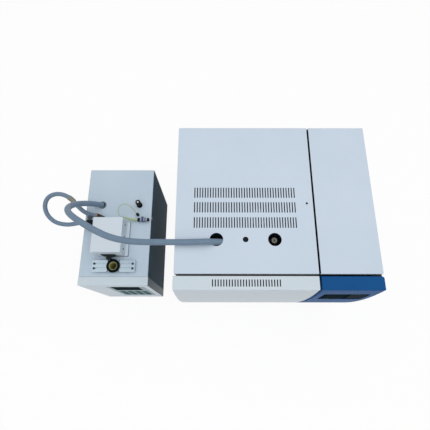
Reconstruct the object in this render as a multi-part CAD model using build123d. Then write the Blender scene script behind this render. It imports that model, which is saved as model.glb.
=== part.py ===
"""Gas chromatograph with its headspace sampler.

The chromatograph's cabinet stands on the right: a swing door over a stirred oven on the left, a fixed control
fascia in front of the electronics on the right, and two sheet covers on top. The sampler's smaller cabinet
stands on the left. A heated hose runs from the sampler's deck to the left injection port.

Millimetres. +Z is up, +Y is towards the back and +X is to the right, seen from the front. The origin is on the
bench, at the middle of the whole instrument's footprint.
"""
from math import cos, degrees, pi, radians, sin, sqrt, tan
import os

from build123d import *

os.makedirs("parts", exist_ok=True)

# Cabinet
cabinet_width = 600.0
cabinet_height = 490.0          # bench to the top covers
cover_depth = 476.0             # front to rear edge of the top covers
crown_reach = 58.0              # the curved front's crown, forward of the covers
crease_reach = 46.0             # the front's top edge, forward of the covers
crown_drop = 205.0              # the crown, below the covers
rear_reach = 25.0               # gas fittings behind the covers
foot_height = 15.0
foot_radius = 17.0
foot_inset = 45.0
base_thickness = 3.0
sheet = 2.0
cover_sheet = 2.0
skirt = 22.0                    # folded edge of the covers
seam = 6.0                      # dark joint between the two covers
oven_side_width = 415.5         # left cover, from the cabinet's left edge to the seam
fit_gap = 0.3

# Vents and ports in the covers
slot_pitch = 8.0
slot_width = 3.2
cover_slot_count = 39
cover_slot_length = 33.0
cover_slot_rows = (153.0, 201.0, 248.5)     # row centres, behind the covers' front edge
port_setback = 101.0                        # injection ports, behind the covers' front edge
port_spread = 86.0                          # from the oven's middle to each port
port_radius = 20.0
plug_radius = 8.5

# Oven
oven_centre_inset = 208.5       # oven's middle, from the cabinet's left edge
cavity_width = 290.0
cavity_height = 270.0
cavity_depth = 210.0
cavity_floor = 75.0
cavity_corner = 12.0
liner_wall = 1.0
liner_flange = 16.0
insulation = 35.0
casing_wall = 1.2

# Door
door_overhang = 2.0             # door past the cabinet's left edge
door_clearance = 25.0           # bench to the door's lower edge
front_gap = 7.0                 # door and fascia to the covers
door_wall = 3.0
door_plate = 1.5
door_vent_count = 25
door_vent_length = 20.0
door_vent_setback = 11.5        # vents, forward of the door's back face
plug_clearance = 6.0
plug_depth = 20.0
gasket_width = 14.0
hinge_radius = 3.2
hinge_pin_radius = 2.0
hinge_setback = 5.0             # hinge axis, behind the door's back face
hinge_inset = 3.5               # hinge axis, from the door's left edge
hinge_length = 44.0
running_clearance = 0.05

# Control fascia
window_width = 137.0
window_height = 91.0
window_drop = 55.0              # window's top edge, below the covers
window_inset = 20.5             # window's right edge, from the cabinet's right edge
window_depth = 2.5
window_corner = 7.0

# Fans
fan_height = 210.0
impeller_radius = 75.0
impeller_depth = 24.0
blade_count = 16
shaft_radius = 4.0
motor_radius = 42.0
motor_length = 78.0
motor_standoff = 42.0
cooling_fan_size = 92.0
cooling_fan_depth = 25.0

# Sampler
cabinet_gap = 94.0              # sampler's right side to the cabinet
sampler_width = 221.0
sampler_depth = 399.0
sampler_height = 373.5
sampler_setback = 38.0          # sampler's front, behind the cabinet's crown
bezel_depth = 28.0
bezel_wall = 3.0
sampler_foot_radius = 10.0
sampler_foot_inset = 30.0
valve_cover_width = 94.0
valve_cover_depth = 113.0
valve_cover_height = 61.0
valve_cover_inset = 48.0        # from the sampler's left side
valve_cover_setback = 95.0      # from the sampler's front
well_inset = 111.3              # vial well, from the sampler's left side
well_setback = 60.5             # vial well, from the sampler's front
well_radius = 11.6
well_depth = 62.0
well_flange_radius = 21.5
vial_plate_width = 137.0
vial_plate_depth = 38.0
vial_plate_height = 12.0

# Hoses
transfer_radius = 9.0
loop_radius = 7.0
wire_radius = 1.1
lead_radius = 3.2

# Worked-out places
overall_width = sampler_width + cabinet_gap + cabinet_width
overall_depth = crown_reach + cover_depth + rear_reach
front = -overall_depth / 2
cover_front = front + crown_reach
cover_rear = cover_front + cover_depth
cab_left = overall_width / 2 - cabinet_width
cab_right = overall_width / 2
seam_left = cab_left + oven_side_width
seam_right = seam_left + seam
under_cover = cabinet_height - cover_sheet
base_top = foot_height + base_thickness
side_face = cab_left + cover_sheet + fit_gap            # outer face of the left side panel
far_face = cab_right - cover_sheet - fit_gap
bulkhead_front = cover_front + cover_sheet + fit_gap
bulkhead_back = bulkhead_front + sheet
rear_back = cover_rear - cover_sheet - fit_gap
rear_front = rear_back - sheet
seam_middle = (seam_left + seam_right) / 2

door_left = cab_left - door_overhang
door_right = seam_left - 0.5
door_back = cover_front - front_gap
door_top = cabinet_height
crown_z = cabinet_height - crown_drop
crease_set = crown_reach - crease_reach
crown_radius = (crown_drop ** 2 + crease_set ** 2) / (2 * crease_set)
hinge_x = door_left + hinge_inset
hinge_y = door_back + hinge_setback
hinge_heights = (door_clearance + 60.0, cabinet_height - skirt - 64.0)

oven_x = cab_left + oven_centre_inset
cavity_z = cavity_floor + cavity_height / 2
liner_front = bulkhead_front - liner_wall
liner_back = liner_front + cavity_depth + 5.0 + liner_wall
casing_grow = liner_wall + insulation + 2 * fit_gap + casing_wall
casing_back = liner_back + insulation + 2 * fit_gap + casing_wall
casing_top = cavity_floor + cavity_height + casing_grow
port_y = cover_front + port_setback
left_port_x = oven_x - port_spread
right_port_x = oven_x + port_spread

sam_left = -overall_width / 2
sam_right = sam_left + sampler_width
sam_front = front + sampler_setback
sam_rear = sam_front + sampler_depth
deck = sampler_height
sam_mid = (sam_left + sam_right) / 2
bezel_back = sam_front + bezel_depth
box_left = sam_left + valve_cover_inset
box_right = box_left + valve_cover_width
box_front = sam_front + valve_cover_setback
box_rear = box_front + valve_cover_depth
well_x = sam_left + well_inset
well_y = sam_front + well_setback
plate_top = deck + vial_plate_height


def save(shape, node):
    """Write one sub-part."""
    export_step(shape, f"parts/{node}.step")


def slab(x, y, z):
    """Rectangular solid between three pairs of limits."""
    size = Box(x[1] - x[0], y[1] - y[0], z[1] - z[0])
    return Pos(sum(x) / 2, sum(y) / 2, sum(z) / 2) * size


def rod(start, toward, radius, length):
    """Round bar from a start point along a direction."""
    bar = Cylinder(radius, length, align=(Align.CENTER, Align.CENTER, Align.MIN))
    return Plane(origin=start, z_dir=toward) * bar


def tube(start, toward, outer, inner, length):
    """Round pipe from a start point along a direction."""
    return rod(start, toward, outer, length) - rod(start, toward, inner, length)


def round_plate(centre, toward, width, height, corner, thickness):
    """Plate with rounded corners; width runs along X where it can."""
    plane = Plane(origin=centre, x_dir=(1, 0, 0), z_dir=toward)
    return extrude(plane * RectangleRounded(width, height, corner), thickness)


def section_x(path, width, x0, x1):
    """Folded sheet: a YZ path given a thickness and run along X."""
    return extrude(Plane.YZ.offset(x0) * trace(Polyline(*path), width), x1 - x0)


def section_y(path, width, y0, y1):
    """Folded sheet: an XZ path given a thickness and run along Y."""
    return extrude(Plane.XZ.offset(-y1) * trace(Polyline(*path), width), y1 - y0)


def hexagon(start, toward, across_flats, length):
    """Hexagonal nut blank."""
    profile = RegularPolygon(across_flats / 2, 6, major_radius=False)
    return extrude(Plane(origin=start, z_dir=toward) * profile, length)


def front_y(z, inset=0.0):
    """Y of the curved front at a height, or of a skin parallel to it."""
    return front + crown_radius - sqrt((crown_radius - inset) ** 2 - (z - crown_z) ** 2)


def front_body(x0, x1, z0, z1, inset, back):
    """Solid between the curved front, inset by a skin, and a flat back."""
    top = (front_y(z1, inset), z1)
    middle = (front_y((z0 + z1) / 2, inset), (z0 + z1) / 2)
    low = (front_y(z0, inset), z0)
    outline = Line((back, z1), top) + ThreePointArc(top, middle, low)
    outline += Line(low, (back, z0)) + Line((back, z0), (back, z1))
    return extrude(Plane.YZ.offset(x0) * make_face(outline), x1 - x0)


# ---------------------------------------------------------------- cabinet frame

def cabinet_foot_places():
    """Centres of the four feet."""
    xs = (cab_left + foot_inset, cab_right - foot_inset)
    ys = (cover_front + foot_inset, cover_rear - foot_inset)
    return [(x, y) for x in xs for y in ys]


def make_base_plate():
    """Floor sheet with cooling slots under the fan motor."""
    plate = slab((side_face, far_face), (bulkhead_front, rear_back), (foot_height, base_top))
    for row in (-1, 1):
        for i in range(9):
            x = oven_x + (i - 4) * 16.0
            y = casing_back + 70.0 + row * 28.0
            plate -= slab((x - 2.5, x + 2.5), (y - 20, y + 20), (foot_height - 1, base_top + 1))
    return plate


def make_feet():
    """Rubber feet of both cabinets: short cones, wider at the top."""
    feet = []
    for places, radius in ((cabinet_foot_places(), foot_radius), (sampler_foot_places(), sampler_foot_radius)):
        for x, y in places:
            cone = Cone(radius * 0.85, radius, foot_height, align=(Align.CENTER, Align.CENTER, Align.MIN))
            feet.append(Pos(x, y, 0) * cone)
    return Compound(children=feet)


def make_side_panel(face, inward):
    """Side sheet folded into a channel, open to the inside."""
    x = face + inward * sheet / 2
    low, high = base_top + sheet / 2, under_cover - sheet / 2
    lip = x + inward * 13.0
    path = ((lip, low), (x, low), (x, high), (lip, high))
    return section_y(path, sheet, bulkhead_back, rear_front)


def make_bulkhead():
    """Front sheet that carries the oven, the door and the fascia."""
    panel = slab((side_face, far_face), (bulkhead_front, bulkhead_back), (base_top, under_cover))
    opening_w = cavity_width + 2 * (liner_wall + fit_gap)
    opening_h = cavity_height + 2 * (liner_wall + fit_gap)
    start = (oven_x, bulkhead_front - 1, cavity_z)
    panel -= round_plate(start, (0, 1, 0), opening_w, opening_h, cavity_corner + 1, sheet + 2)
    panel -= slab((catch_x - 5, catch_x + 5), (bulkhead_front - 1, bulkhead_back + 1),
                  (catch_z - 14, catch_z + 14))
    cable_x = (seam_right + cab_right) / 2
    panel -= rod((cable_x, bulkhead_front - 1, crown_z - 60), (0, 1, 0), 12.0, sheet + 2)
    return panel + catch_spring()


def make_partition():
    """Sheet between the oven bay and the electronics, with a drip channel under the covers' seam."""
    high = under_cover - sheet / 2
    floor = high - 14.0
    left = seam_left - sheet / 2
    right = seam_right + sheet / 2
    path = ((left - 32, high), (left, high), (left, floor), (right, floor), (right, high), (right + 22, high))
    channel = section_y(path, sheet, bulkhead_back, rear_front)
    web = slab((seam_middle - sheet / 2, seam_middle + sheet / 2), (bulkhead_back, rear_front),
               (base_top, floor))
    return channel + web


def make_rear_panel():
    """Rear sheet with its duct, fan, inlet and gas openings, and louvre slots behind the oven motor."""
    panel = slab((side_face, far_face), (rear_front, rear_back), (base_top, under_cover))
    through = (rear_front - 1, rear_back + 1)
    grow = 0.5
    panel -= slab((duct_x - duct_width / 2 - grow, duct_x + duct_width / 2 + grow), through,
                  (duct_z - duct_height / 2 - grow, duct_z + duct_height / 2 + grow))
    for i in range(11):
        half = sqrt(40.0 ** 2 - ((i - 5) * 7.2) ** 2)
        z = cooling_fan_z + (i - 5) * 7.2
        panel -= slab((cooling_fan_x - half, cooling_fan_x + half), through, (z - 2.2, z + 2.2))
    panel -= slab((inlet_x - 14, inlet_x + 14), through, (inlet_z - 10.5, inlet_z + 10.5))
    panel -= slab((inlet_x - 7, inlet_x + 7), through, (switch_z - 10, switch_z + 10))
    for x in gas_places:
        panel -= rod((x, rear_front - 1, gas_z), (0, 1, 0), gas_thread_radius + 0.1, sheet + 2)
    for i in range(14):
        x = oven_x - 70 + i * 10.0
        panel -= slab((x - 2, x + 2), through, (fan_height - 110, fan_height - 60))
    return panel


def make_top_cover(x0, x1, open_side):
    """Top sheet with three folded edges; the edge beside the seam is plain."""
    body = slab((x0, x1), (cover_front, cover_rear), (cabinet_height - skirt, cabinet_height))
    outer_x = x0 if open_side > 0 else x1
    uprights = [e for e in body.edges().filter_by(Axis.Z) if abs(e.center().X - outer_x) < 0.1]
    body = fillet(uprights, 3.0)
    rim = [e for e in body.edges() if e.center().Z > cabinet_height - 0.1]
    rim = [e for e in rim if abs(e.center().X - (x1 if open_side > 0 else x0)) > 0.1]
    body = fillet(rim, 1.5)
    inside_x0 = x0 + cover_sheet if open_side > 0 else x0 - 1
    inside_x1 = x1 + 1 if open_side > 0 else x1 - cover_sheet
    hollow = slab((inside_x0, inside_x1), (cover_front + cover_sheet, cover_rear - cover_sheet),
                  (cabinet_height - skirt - 1, under_cover))
    return body - hollow


def make_oven_top_cover():
    """Left cover: three rows of vent slots and the holes over the injection ports."""
    cover = make_top_cover(cab_left, seam_left, 1)
    z = (under_cover - 1, cabinet_height + 1)
    tools = []
    for row in cover_slot_rows:
        y = cover_front + row
        for i in range(cover_slot_count):
            x = oven_x + (i - (cover_slot_count - 1) / 2) * slot_pitch
            tools.append(slab((x - slot_width / 2, x + slot_width / 2),
                              (y - cover_slot_length / 2, y + cover_slot_length / 2), z))
    for x, radius in ((left_port_x, port_radius), (right_port_x, port_radius), (oven_x, plug_radius)):
        tools.append(rod((x, port_y, z[0]), (0, 0, 1), radius, z[1] - z[0]))
    tools.append(rod((cover_screw_x, cover_screw_y, z[0]), (0, 0, 1), 1.8, z[1] - z[0]))
    return cover - tools


cover_screw_x = seam_left - 18.5
cover_screw_y = cover_front + 214.0


def cover_screws():
    """Pan-head screws: one through the oven cover, others through the rear skirts."""
    screws = []
    head = rod((cover_screw_x, cover_screw_y, cabinet_height), (0, 0, 1), 3.2, 1.6)
    shank = rod((cover_screw_x, cover_screw_y, under_cover), (0, 0, 1), 1.7, cover_sheet)
    screws.append(head + shank)
    for x in (cab_left + 60, seam_left - 60, seam_right + 40, cab_right - 40):
        screws.append(rod((x, cover_rear, cabinet_height - skirt / 2), (0, 1, 0), 3.2, 1.6))
    return screws


# ---------------------------------------------------------------- oven door

catch_x = seam_left - 16.0
catch_z = crown_z


def make_door_shell():
    """Moulded door skin with its crowned front and a row of vents along the top."""
    z0, z1 = door_clearance, door_top
    body = front_body(door_left, door_right, z0, z1, 0.0, door_back)
    front_edges = [e for e in body.edges() if e.center().Y < door_back - 25.0]
    body = fillet(front_edges, 3.0)
    body -= front_body(door_left + door_wall, door_right - door_wall, z0 + door_wall, z1 - door_wall,
                       door_wall, door_back + 1)
    y1 = door_back - door_vent_setback + 2.5
    tools = []
    for i in range(door_vent_count):
        x = oven_x - 1.0 + (i - (door_vent_count - 1) / 2) * slot_pitch
        tools.append(slab((x - slot_width / 2, x + slot_width / 2), (y1 - door_vent_length, y1),
                          (z1 - door_wall - 1, z1 + 1)))
    return body - tools


def make_door_liner():
    """Stainless door back: a flat plate with a tapered plug that enters the oven."""
    edge = 1.5
    plate = slab((door_left + edge, door_right - edge), (door_back, door_back + door_plate),
                 (door_clearance + edge, door_top - edge))
    width = cavity_width - 2 * plug_clearance
    height = cavity_height - 2 * plug_clearance
    root = Plane(origin=(oven_x, door_back + door_plate, cavity_z), x_dir=(1, 0, 0), z_dir=(0, 1, 0))
    tip = root.offset(plug_depth)
    taper = 3.0
    foot = root * RectangleRounded(width, height, cavity_corner)
    end = tip * RectangleRounded(width - 2 * taper, height - 2 * taper, cavity_corner)
    plug = loft([foot, end])
    return plate + plug + door_tongue()


def make_door_gasket():
    """Woven seal round the plug; it meets the oven's front flange."""
    start = (oven_x, door_back + door_plate, cavity_z)
    depth = liner_front - fit_gap - start[1]
    width = cavity_width - 2 * plug_clearance + 2
    height = cavity_height - 2 * plug_clearance + 2
    outer = round_plate(start, (0, 1, 0), width + 2 * gasket_width, height + 2 * gasket_width,
                        cavity_corner + gasket_width, depth)
    outer = fillet(outer.faces().sort_by(Axis.Y)[-1].edges(), 2.0)
    return outer - round_plate(start, (0, 1, 0), width, height, cavity_corner, depth)


def hinge_knuckle(z0, z1, bore):
    """One rolled eye of a hinge."""
    return tube((hinge_x, hinge_y, z0), (0, 0, 1), hinge_radius, bore, z1 - z0)


def make_hinge_fixed():
    """Cabinet halves of the hinges: a middle eye, a leaf on the side panel and the pressed-in pin."""
    parts = []
    for z in hinge_heights:
        half = hinge_length / 6
        eye = rod((hinge_x, hinge_y, z - half), (0, 0, 1), hinge_radius, 2 * half)
        arm = slab((side_face - 1.5, side_face), (hinge_y, bulkhead_back), (z - half, z + half))
        leaf = slab((side_face - 1.5, side_face), (bulkhead_back, bulkhead_back + 24),
                    (z - hinge_length / 2, z + hinge_length / 2))
        bore = rod((hinge_x, hinge_y, z - half), (0, 0, 1), hinge_pin_radius, 2 * half)
        parts.append(eye + arm + leaf - bore)
        length = hinge_length + 2
        parts.append(rod((hinge_x, hinge_y, z - length / 2), (0, 0, 1), hinge_pin_radius, length))
    return Compound(children=parts)


def make_hinge_moving():
    """Door halves of the hinges: two outer eyes and a leaf on the door's plate."""
    parts = []
    for z in hinge_heights:
        half = hinge_length / 6
        face = door_back + door_plate
        leaf = slab((hinge_x, hinge_x + 22), (face, face + 1.5), (z - hinge_length / 2, z + hinge_length / 2))
        notch = half + fit_gap
        leaf -= slab((hinge_x - 1, hinge_x + hinge_radius + 0.8), (face - 1, face + 3), (z - notch, z + notch))
        for z0, z1 in ((z - hinge_length / 2, z - notch), (z + notch, z + hinge_length / 2)):
            leaf += rod((hinge_x, hinge_y, z0), (0, 0, 1), hinge_radius, z1 - z0)
            leaf -= rod((hinge_x, hinge_y, z0), (0, 0, 1), hinge_pin_radius + running_clearance, z1 - z0)
        parts.append(leaf)
    return Compound(children=parts)


def door_tongue():
    """Catch tongue on the door's plate, with a rounded nose."""
    face = door_back + door_plate
    foot = slab((catch_x - 7, catch_x + 7), (face, face + 1.5), (catch_z - 11, catch_z + 11))
    blade = slab((catch_x - 1.5, catch_x + 1.5), (face, face + 19), (catch_z - 9, catch_z + 9))
    tip = blade.edges().filter_by(Axis.Z).group_by(Axis.Y)[-1]
    return foot + fillet(tip, 1.2)


def catch_spring():
    """Spring leaves welded behind the bulkhead; they grip the door's tongue."""
    leaves = []
    for side in (-1, 1):
        x0 = catch_x + side * 2.4
        path = ((x0 + side * 5, bulkhead_back + 0.4), (x0 + side * 2, bulkhead_back + 0.4),
                (x0, bulkhead_back + 7), (x0 + side * 3, bulkhead_back + 14))
        strip = trace(Polyline(*path), 0.8)
        leaves.append(extrude(Plane.XY.offset(catch_z - 8) * strip, 16))
    return leaves


# ---------------------------------------------------------------- oven

duct_x = oven_x + 84.0
duct_z = cavity_floor + cavity_height - 45.0
duct_width = 80.0
duct_height = 60.0
duct_wall = 1.5
duct_end = cover_rear + 7.5
stem_radius = 5.0
detector_x = oven_x + 44.0
detector_y = port_y + 90.0
cooling_fan_x = seam_right + 88.0
cooling_fan_z = 330.0
inlet_x = cab_right - 40.0
inlet_z = 66.0
switch_z = 104.0
gas_z = cabinet_height - 52.0
gas_places = [cab_left + 42.0 + 26.0 * i for i in range(3)]
gas_thread_radius = 5.0


def stem_places():
    """Injector and detector stems through the oven's roof."""
    return [(left_port_x, port_y), (right_port_x, port_y), (detector_x, detector_y)]


def make_oven_liner():
    """Stainless oven box with a front flange, holes in the roof and an outlet in the back wall."""
    length = liner_back - liner_front
    start = (oven_x, liner_front, cavity_z)
    outer = round_plate(start, (0, 1, 0), cavity_width + 2 * liner_wall, cavity_height + 2 * liner_wall,
                        cavity_corner + liner_wall, length)
    flange = round_plate(start, (0, 1, 0), cavity_width + 2 * liner_flange, cavity_height + 2 * liner_flange,
                         cavity_corner + liner_flange, liner_wall)
    inner = round_plate((oven_x, liner_front - 1, cavity_z), (0, 1, 0), cavity_width, cavity_height,
                        cavity_corner, length + 1 - liner_wall)
    liner = outer + flange - inner
    roof = cavity_floor + cavity_height
    for x, y in stem_places():
        liner -= rod((x, y, roof - 2), (0, 0, 1), stem_radius + fit_gap, 5)
    liner -= rod((oven_x, liner_back - 3, fan_height), (0, 1, 0), shaft_radius + 4, 5)
    liner -= slab((duct_x - duct_width / 2 + duct_wall, duct_x + duct_width / 2 - duct_wall),
                  (liner_back - 3, liner_back + 2),
                  (duct_z - duct_height / 2 + duct_wall, duct_z + duct_height / 2 - duct_wall))
    return liner + column_hanger()


def around_oven(grow_in, grow_out, back_in, back_out):
    """Wrap round the liner: four sides and a back."""
    corner = cavity_corner + liner_wall
    start = (oven_x, bulkhead_back, cavity_z)
    width = cavity_width + 2 * liner_wall
    height = cavity_height + 2 * liner_wall
    outer = round_plate(start, (0, 1, 0), width + 2 * grow_out, height + 2 * grow_out, corner,
                        back_out - bulkhead_back)
    inner = round_plate((oven_x, bulkhead_back - 1, cavity_z), (0, 1, 0), width + 2 * grow_in,
                        height + 2 * grow_in, corner, back_in - bulkhead_back + 1)
    wrap = outer - inner
    reach = cavity_floor + cavity_height
    for x, y in stem_places():
        wrap -= rod((x, y, reach), (0, 0, 1), stem_radius + fit_gap, 80)
    wrap -= rod((oven_x, back_in - 5, fan_height), (0, 1, 0), shaft_radius + 4, back_out - back_in + 10)
    hole = fit_gap
    wrap -= slab((duct_x - duct_width / 2 - hole, duct_x + duct_width / 2 + hole), (back_in - 5, back_out + 5),
                 (duct_z - duct_height / 2 - hole, duct_z + duct_height / 2 + hole))
    return wrap


def make_oven_insulation():
    """Mineral wool between the liner and the casing."""
    return around_oven(fit_gap, fit_gap + insulation, liner_back + fit_gap,
                       liner_back + fit_gap + insulation)


def make_oven_casing():
    """Galvanised casing round the insulation, with two rails welded under it."""
    inside = 2 * fit_gap + insulation
    casing = around_oven(inside, inside + casing_wall, liner_back + inside, casing_back)
    return casing + oven_rails()


def oven_rails():
    """Folded rails that carry the oven on the base plate."""
    under = cavity_floor - casing_grow
    rails = []
    for side in (-1, 1):
        x = oven_x + side * 110.0
        path = ((x - side * 14, base_top + 1), (x, base_top + 1), (x, under - 1), (x + side * 16, under - 1))
        rails.append(section_y(path, 2.0, bulkhead_back + 20, casing_back - 10))
    return rails


def make_fan_shaft():
    """Fan shaft from the impeller into the motor."""
    start = liner_back - liner_wall - 12 - impeller_depth
    end = casing_back + motor_standoff + motor_length - 10
    return rod((oven_x, start, fan_height), (0, 1, 0), shaft_radius, end - start)


def make_fan_impeller():
    """Oven fan: a back disc and hub with curved, backward-leaning blades."""
    back = liner_back - liner_wall - 10
    disc = rod((oven_x, back - 1.5, fan_height), (0, 1, 0), impeller_radius, 1.5)
    hub = rod((oven_x, back - 1.5 - impeller_depth + 4, fan_height), (0, 1, 0), 11.0, impeller_depth - 4)
    fan = disc + hub
    inner = impeller_radius * 0.52
    sweep_angle = 34.0
    for i in range(blade_count):
        turn = i * 360.0 / blade_count
        start = (inner * cos(radians(turn)), inner * sin(radians(turn)))
        mid_r = (inner + impeller_radius) / 2
        middle = (mid_r * cos(radians(turn + sweep_angle * 0.36)), mid_r * sin(radians(turn + sweep_angle * 0.36)))
        tip_r = impeller_radius - 1.0
        tip = (tip_r * cos(radians(turn + sweep_angle)), tip_r * sin(radians(turn + sweep_angle)))
        blade = trace(ThreePointArc(start, middle, tip), 1.4)
        place = Plane(origin=(oven_x, back - 1.5, fan_height), x_dir=(1, 0, 0), z_dir=(0, -1, 0))
        fan += extrude(place * blade, impeller_depth)
    return fan - rod((oven_x, back - 60, fan_height), (0, 1, 0), shaft_radius, 80)


def make_fan_motor():
    """Motor behind the oven on four standoffs, with a front bearing."""
    y0 = casing_back + motor_standoff
    body = rod((oven_x, y0, fan_height), (0, 1, 0), motor_radius, motor_length)
    body = fillet(body.edges().filter_by(GeomType.CIRCLE), 4.0)
    flange = round_plate((oven_x, y0, fan_height), (0, 1, 0), 104.0, 104.0, 8.0, 3.0)
    motor = body + flange
    for dx in (-1, 1):
        for dz in (-1, 1):
            motor += rod((oven_x + dx * 44, casing_back, fan_height + dz * 44), (0, 1, 0), 4.0, motor_standoff)
    for i in range(12):
        turn = radians(i * 30.0)
        fin = slab((motor_radius - 2, motor_radius + 2.5), (y0 + 12, y0 + motor_length - 12), (-1, 1))
        motor += Pos(oven_x, 0, fan_height) * Rot(0, degrees(turn), 0) * fin
    depth = motor_length - 10 + running_clearance
    return motor - rod((oven_x, y0 - 1, fan_height), (0, 1, 0), shaft_radius + running_clearance, depth + 1.5)


def make_fan_shroud():
    """Perforated screen in front of the fan, on four spacers from the back wall."""
    wall = liner_back - liner_wall
    y = wall - 50.0
    plate = round_plate((oven_x, y, cavity_z), (0, 1, 0), cavity_width - 30, cavity_height - 30, 10, 1.2)
    plate -= rod((oven_x, y - 1, fan_height), (0, 1, 0), 32.0, 4)
    for ring, count in ((48.0, 18), (62.0, 24), (76.0, 30)):
        for i in range(count):
            turn = radians(i * 360.0 / count)
            x, z = oven_x + ring * cos(turn), fan_height + ring * sin(turn)
            plate -= slab((x - 3, x + 3), (y - 1, y + 3), (z - 3, z + 3))
    for dx in (-1, 1):
        for dz in (-1, 1):
            plate += rod((oven_x + dx * 122, y + 1.2, cavity_z + dz * 112), (0, 1, 0), 4.0, 48.8)
    return plate


def make_heater_coil():
    """Heating element: three rings round the impeller on ceramic posts from the back wall."""
    wall = liner_back - liner_wall
    coil = None
    for i in range(3):
        centre = (oven_x, wall - 12 - i * 9.0, fan_height)
        ring = Plane(origin=centre, z_dir=(0, 1, 0)) * Torus(impeller_radius + 17, 2.2)
        coil = ring if coil is None else coil + ring
    for i in range(4):
        turn = radians(45 + 90.0 * i)
        x = oven_x + (impeller_radius + 17) * cos(turn)
        z = fan_height + (impeller_radius + 17) * sin(turn)
        coil += rod((x, wall - 34, z), (0, 1, 0), 3.6, 34)
    return coil


column_y = liner_front + 100.0
column_radius = 84.0
cage_radius = 92.0
cage_wire = 2.0
cage_strip = 3.2
hook_drop = 36.0
hook_side = 43.0
cage_z = cavity_floor + cavity_height - hook_drop + 1 + cage_wire - sqrt(cage_radius ** 2 - hook_side ** 2)


def column_hanger():
    """Bracket on the oven's roof with two pairs of hooks for the column cage's top bars."""
    roof = cavity_floor + cavity_height
    plate = slab((oven_x - 45, oven_x + 45), (column_y - 22, column_y + 22), (roof - 1.5, roof))
    for side in (-1, 1):
        x = oven_x + side * (hook_side - 5)
        path = ((x, roof - 1), (x, roof - hook_drop), (x + side * 10, roof - hook_drop))
        for y in (column_y - 21, column_y + 17):
            plate += section_y(path, 2.0, y, y + 4)
    return plate


def make_column_cage():
    """Wire cage of the capillary column: two rings and six cross bars, the top two resting on the hooks."""
    cage = None
    for y in (column_y - 16, column_y + 12):
        ring = tube((oven_x, y, cage_z), (0, 1, 0), cage_radius + cage_strip / 2, cage_radius - cage_strip / 2, 4)
        cage = ring if cage is None else cage + ring
    lift = sqrt(cage_radius ** 2 - hook_side ** 2)
    for dx, dz in ((-hook_side, lift), (hook_side, lift), (-cage_radius, 0), (cage_radius, 0),
                   (-hook_side, -lift), (hook_side, -lift)):
        cage += rod((oven_x + dx, column_y - 22, cage_z + dz), (0, 1, 0), cage_wire, 44)
    return cage


def make_column_coil():
    """Wound capillary column inside its cage."""
    start = (oven_x, column_y - 10, cage_z)
    outer = rod(start, (0, 1, 0), cage_radius - cage_wire, 20)
    outer = fillet(outer.edges().filter_by(GeomType.CIRCLE), 4.0)
    return outer - rod(start, (0, 1, 0), column_radius - 4, 20)


# ---------------------------------------------------------------- inlets and detector

injector_top = cabinet_height - 28.0
injector_radius = 12.0
nut_height = 18.0


def make_injectors():
    """The two inlets."""
    return Compound(children=[injector(left_port_x), injector(right_port_x)])


def injector(x):
    """Inlet body: stem into the oven, column fitting below, weldment above."""
    low = cavity_floor + cavity_height - 16
    stem = rod((x, port_y, low), (0, 0, 1), stem_radius, casing_top - low)
    body = rod((x, port_y, casing_top), (0, 0, 1), injector_radius, injector_top - casing_top)
    nut = hexagon((x, port_y, low - 10), (0, 0, 1), 9.0, 10)
    collar = rod((x, port_y, casing_top + 44), (0, 0, 1), injector_radius + 5, 4)
    gas = rod((x, port_y, injector_top - 12), (0, 1, 0), 2.0, 40)
    return stem + body + nut + collar + gas


def make_septum_nut():
    """Knurled septum nut with a needle guide, under the right port."""
    x = right_port_x
    nut = rod((x, port_y, injector_top), (0, 0, 1), 10.0, nut_height)
    nut = chamfer(nut.edges().filter_by(GeomType.CIRCLE), 1.0)
    for i in range(18):
        turn = radians(i * 20.0)
        nut -= rod((x + 10.6 * cos(turn), port_y + 10.6 * sin(turn), injector_top - 1), (0, 0, 1), 1.1, 16)
    guide = Cone(1.0, 4.0, 5.0, align=(Align.CENTER, Align.CENTER, Align.MAX))
    nut -= Pos(x, port_y, injector_top + nut_height) * guide
    return nut - rod((x, port_y, injector_top - 1), (0, 0, 1), 1.0, nut_height + 2)


def make_heater_blocks():
    """Aluminium blocks that heat the inlets, seated on the casing."""
    blocks = []
    for x in (left_port_x, right_port_x):
        block = slab((x - 27, x + 27), (port_y - 27, port_y + 27), (casing_top, casing_top + 44))
        block = chamfer(block.edges().filter_by(Axis.Z), 4.0)
        block -= rod((x, port_y, casing_top - 1), (0, 0, 1), injector_radius, 46)
        block -= rod((x + 20, port_y - 20, casing_top + 10), (0, 0, 1), 2.5, 36)
        blocks.append(block)
    return Compound(children=blocks)


def make_port_plug():
    """Blanking plug in the small middle port: a cap under the cover with a spring skirt."""
    top = under_cover
    cap = rod((oven_x, port_y, top - 2), (0, 0, 1), plug_radius + 3, 2)
    post = rod((oven_x, port_y, casing_top), (0, 0, 1), 4.0, top - 2 - casing_top)
    return cap + post


def make_detector():
    """Flame ionisation detector: stem, base block, tower and cap."""
    x, y = detector_x, detector_y
    low = cavity_floor + cavity_height - 16
    stem = rod((x, y, low), (0, 0, 1), stem_radius, casing_top - low)
    nut = hexagon((x, y, low - 10), (0, 0, 1), 9.0, 10)
    base = slab((x - 24, x + 24), (y - 20, y + 20), (casing_top, casing_top + 30))
    base = chamfer(base.edges().filter_by(Axis.Z), 3.0)
    tower = rod((x, y, casing_top + 30), (0, 0, 1), 13.0, 40)
    cap = rod((x, y, casing_top + 70), (0, 0, 1), 15.0, 10)
    signal = rod((x, y, casing_top + 52), (1, 0, 0), 5.0, 30)
    bore = rod((x, y, casing_top + 40), (0, 0, 1), 6.0, 50)
    return stem + nut + base + tower + cap + signal - bore


# ---------------------------------------------------------------- rear of the cabinet

flap_gap = 0.6
flap_thickness = 1.5
flap_pin_radius = 1.5
flap_pin_y = duct_end + 2.5
flap_pin_z = duct_z + duct_height / 2 + 3.6


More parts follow.
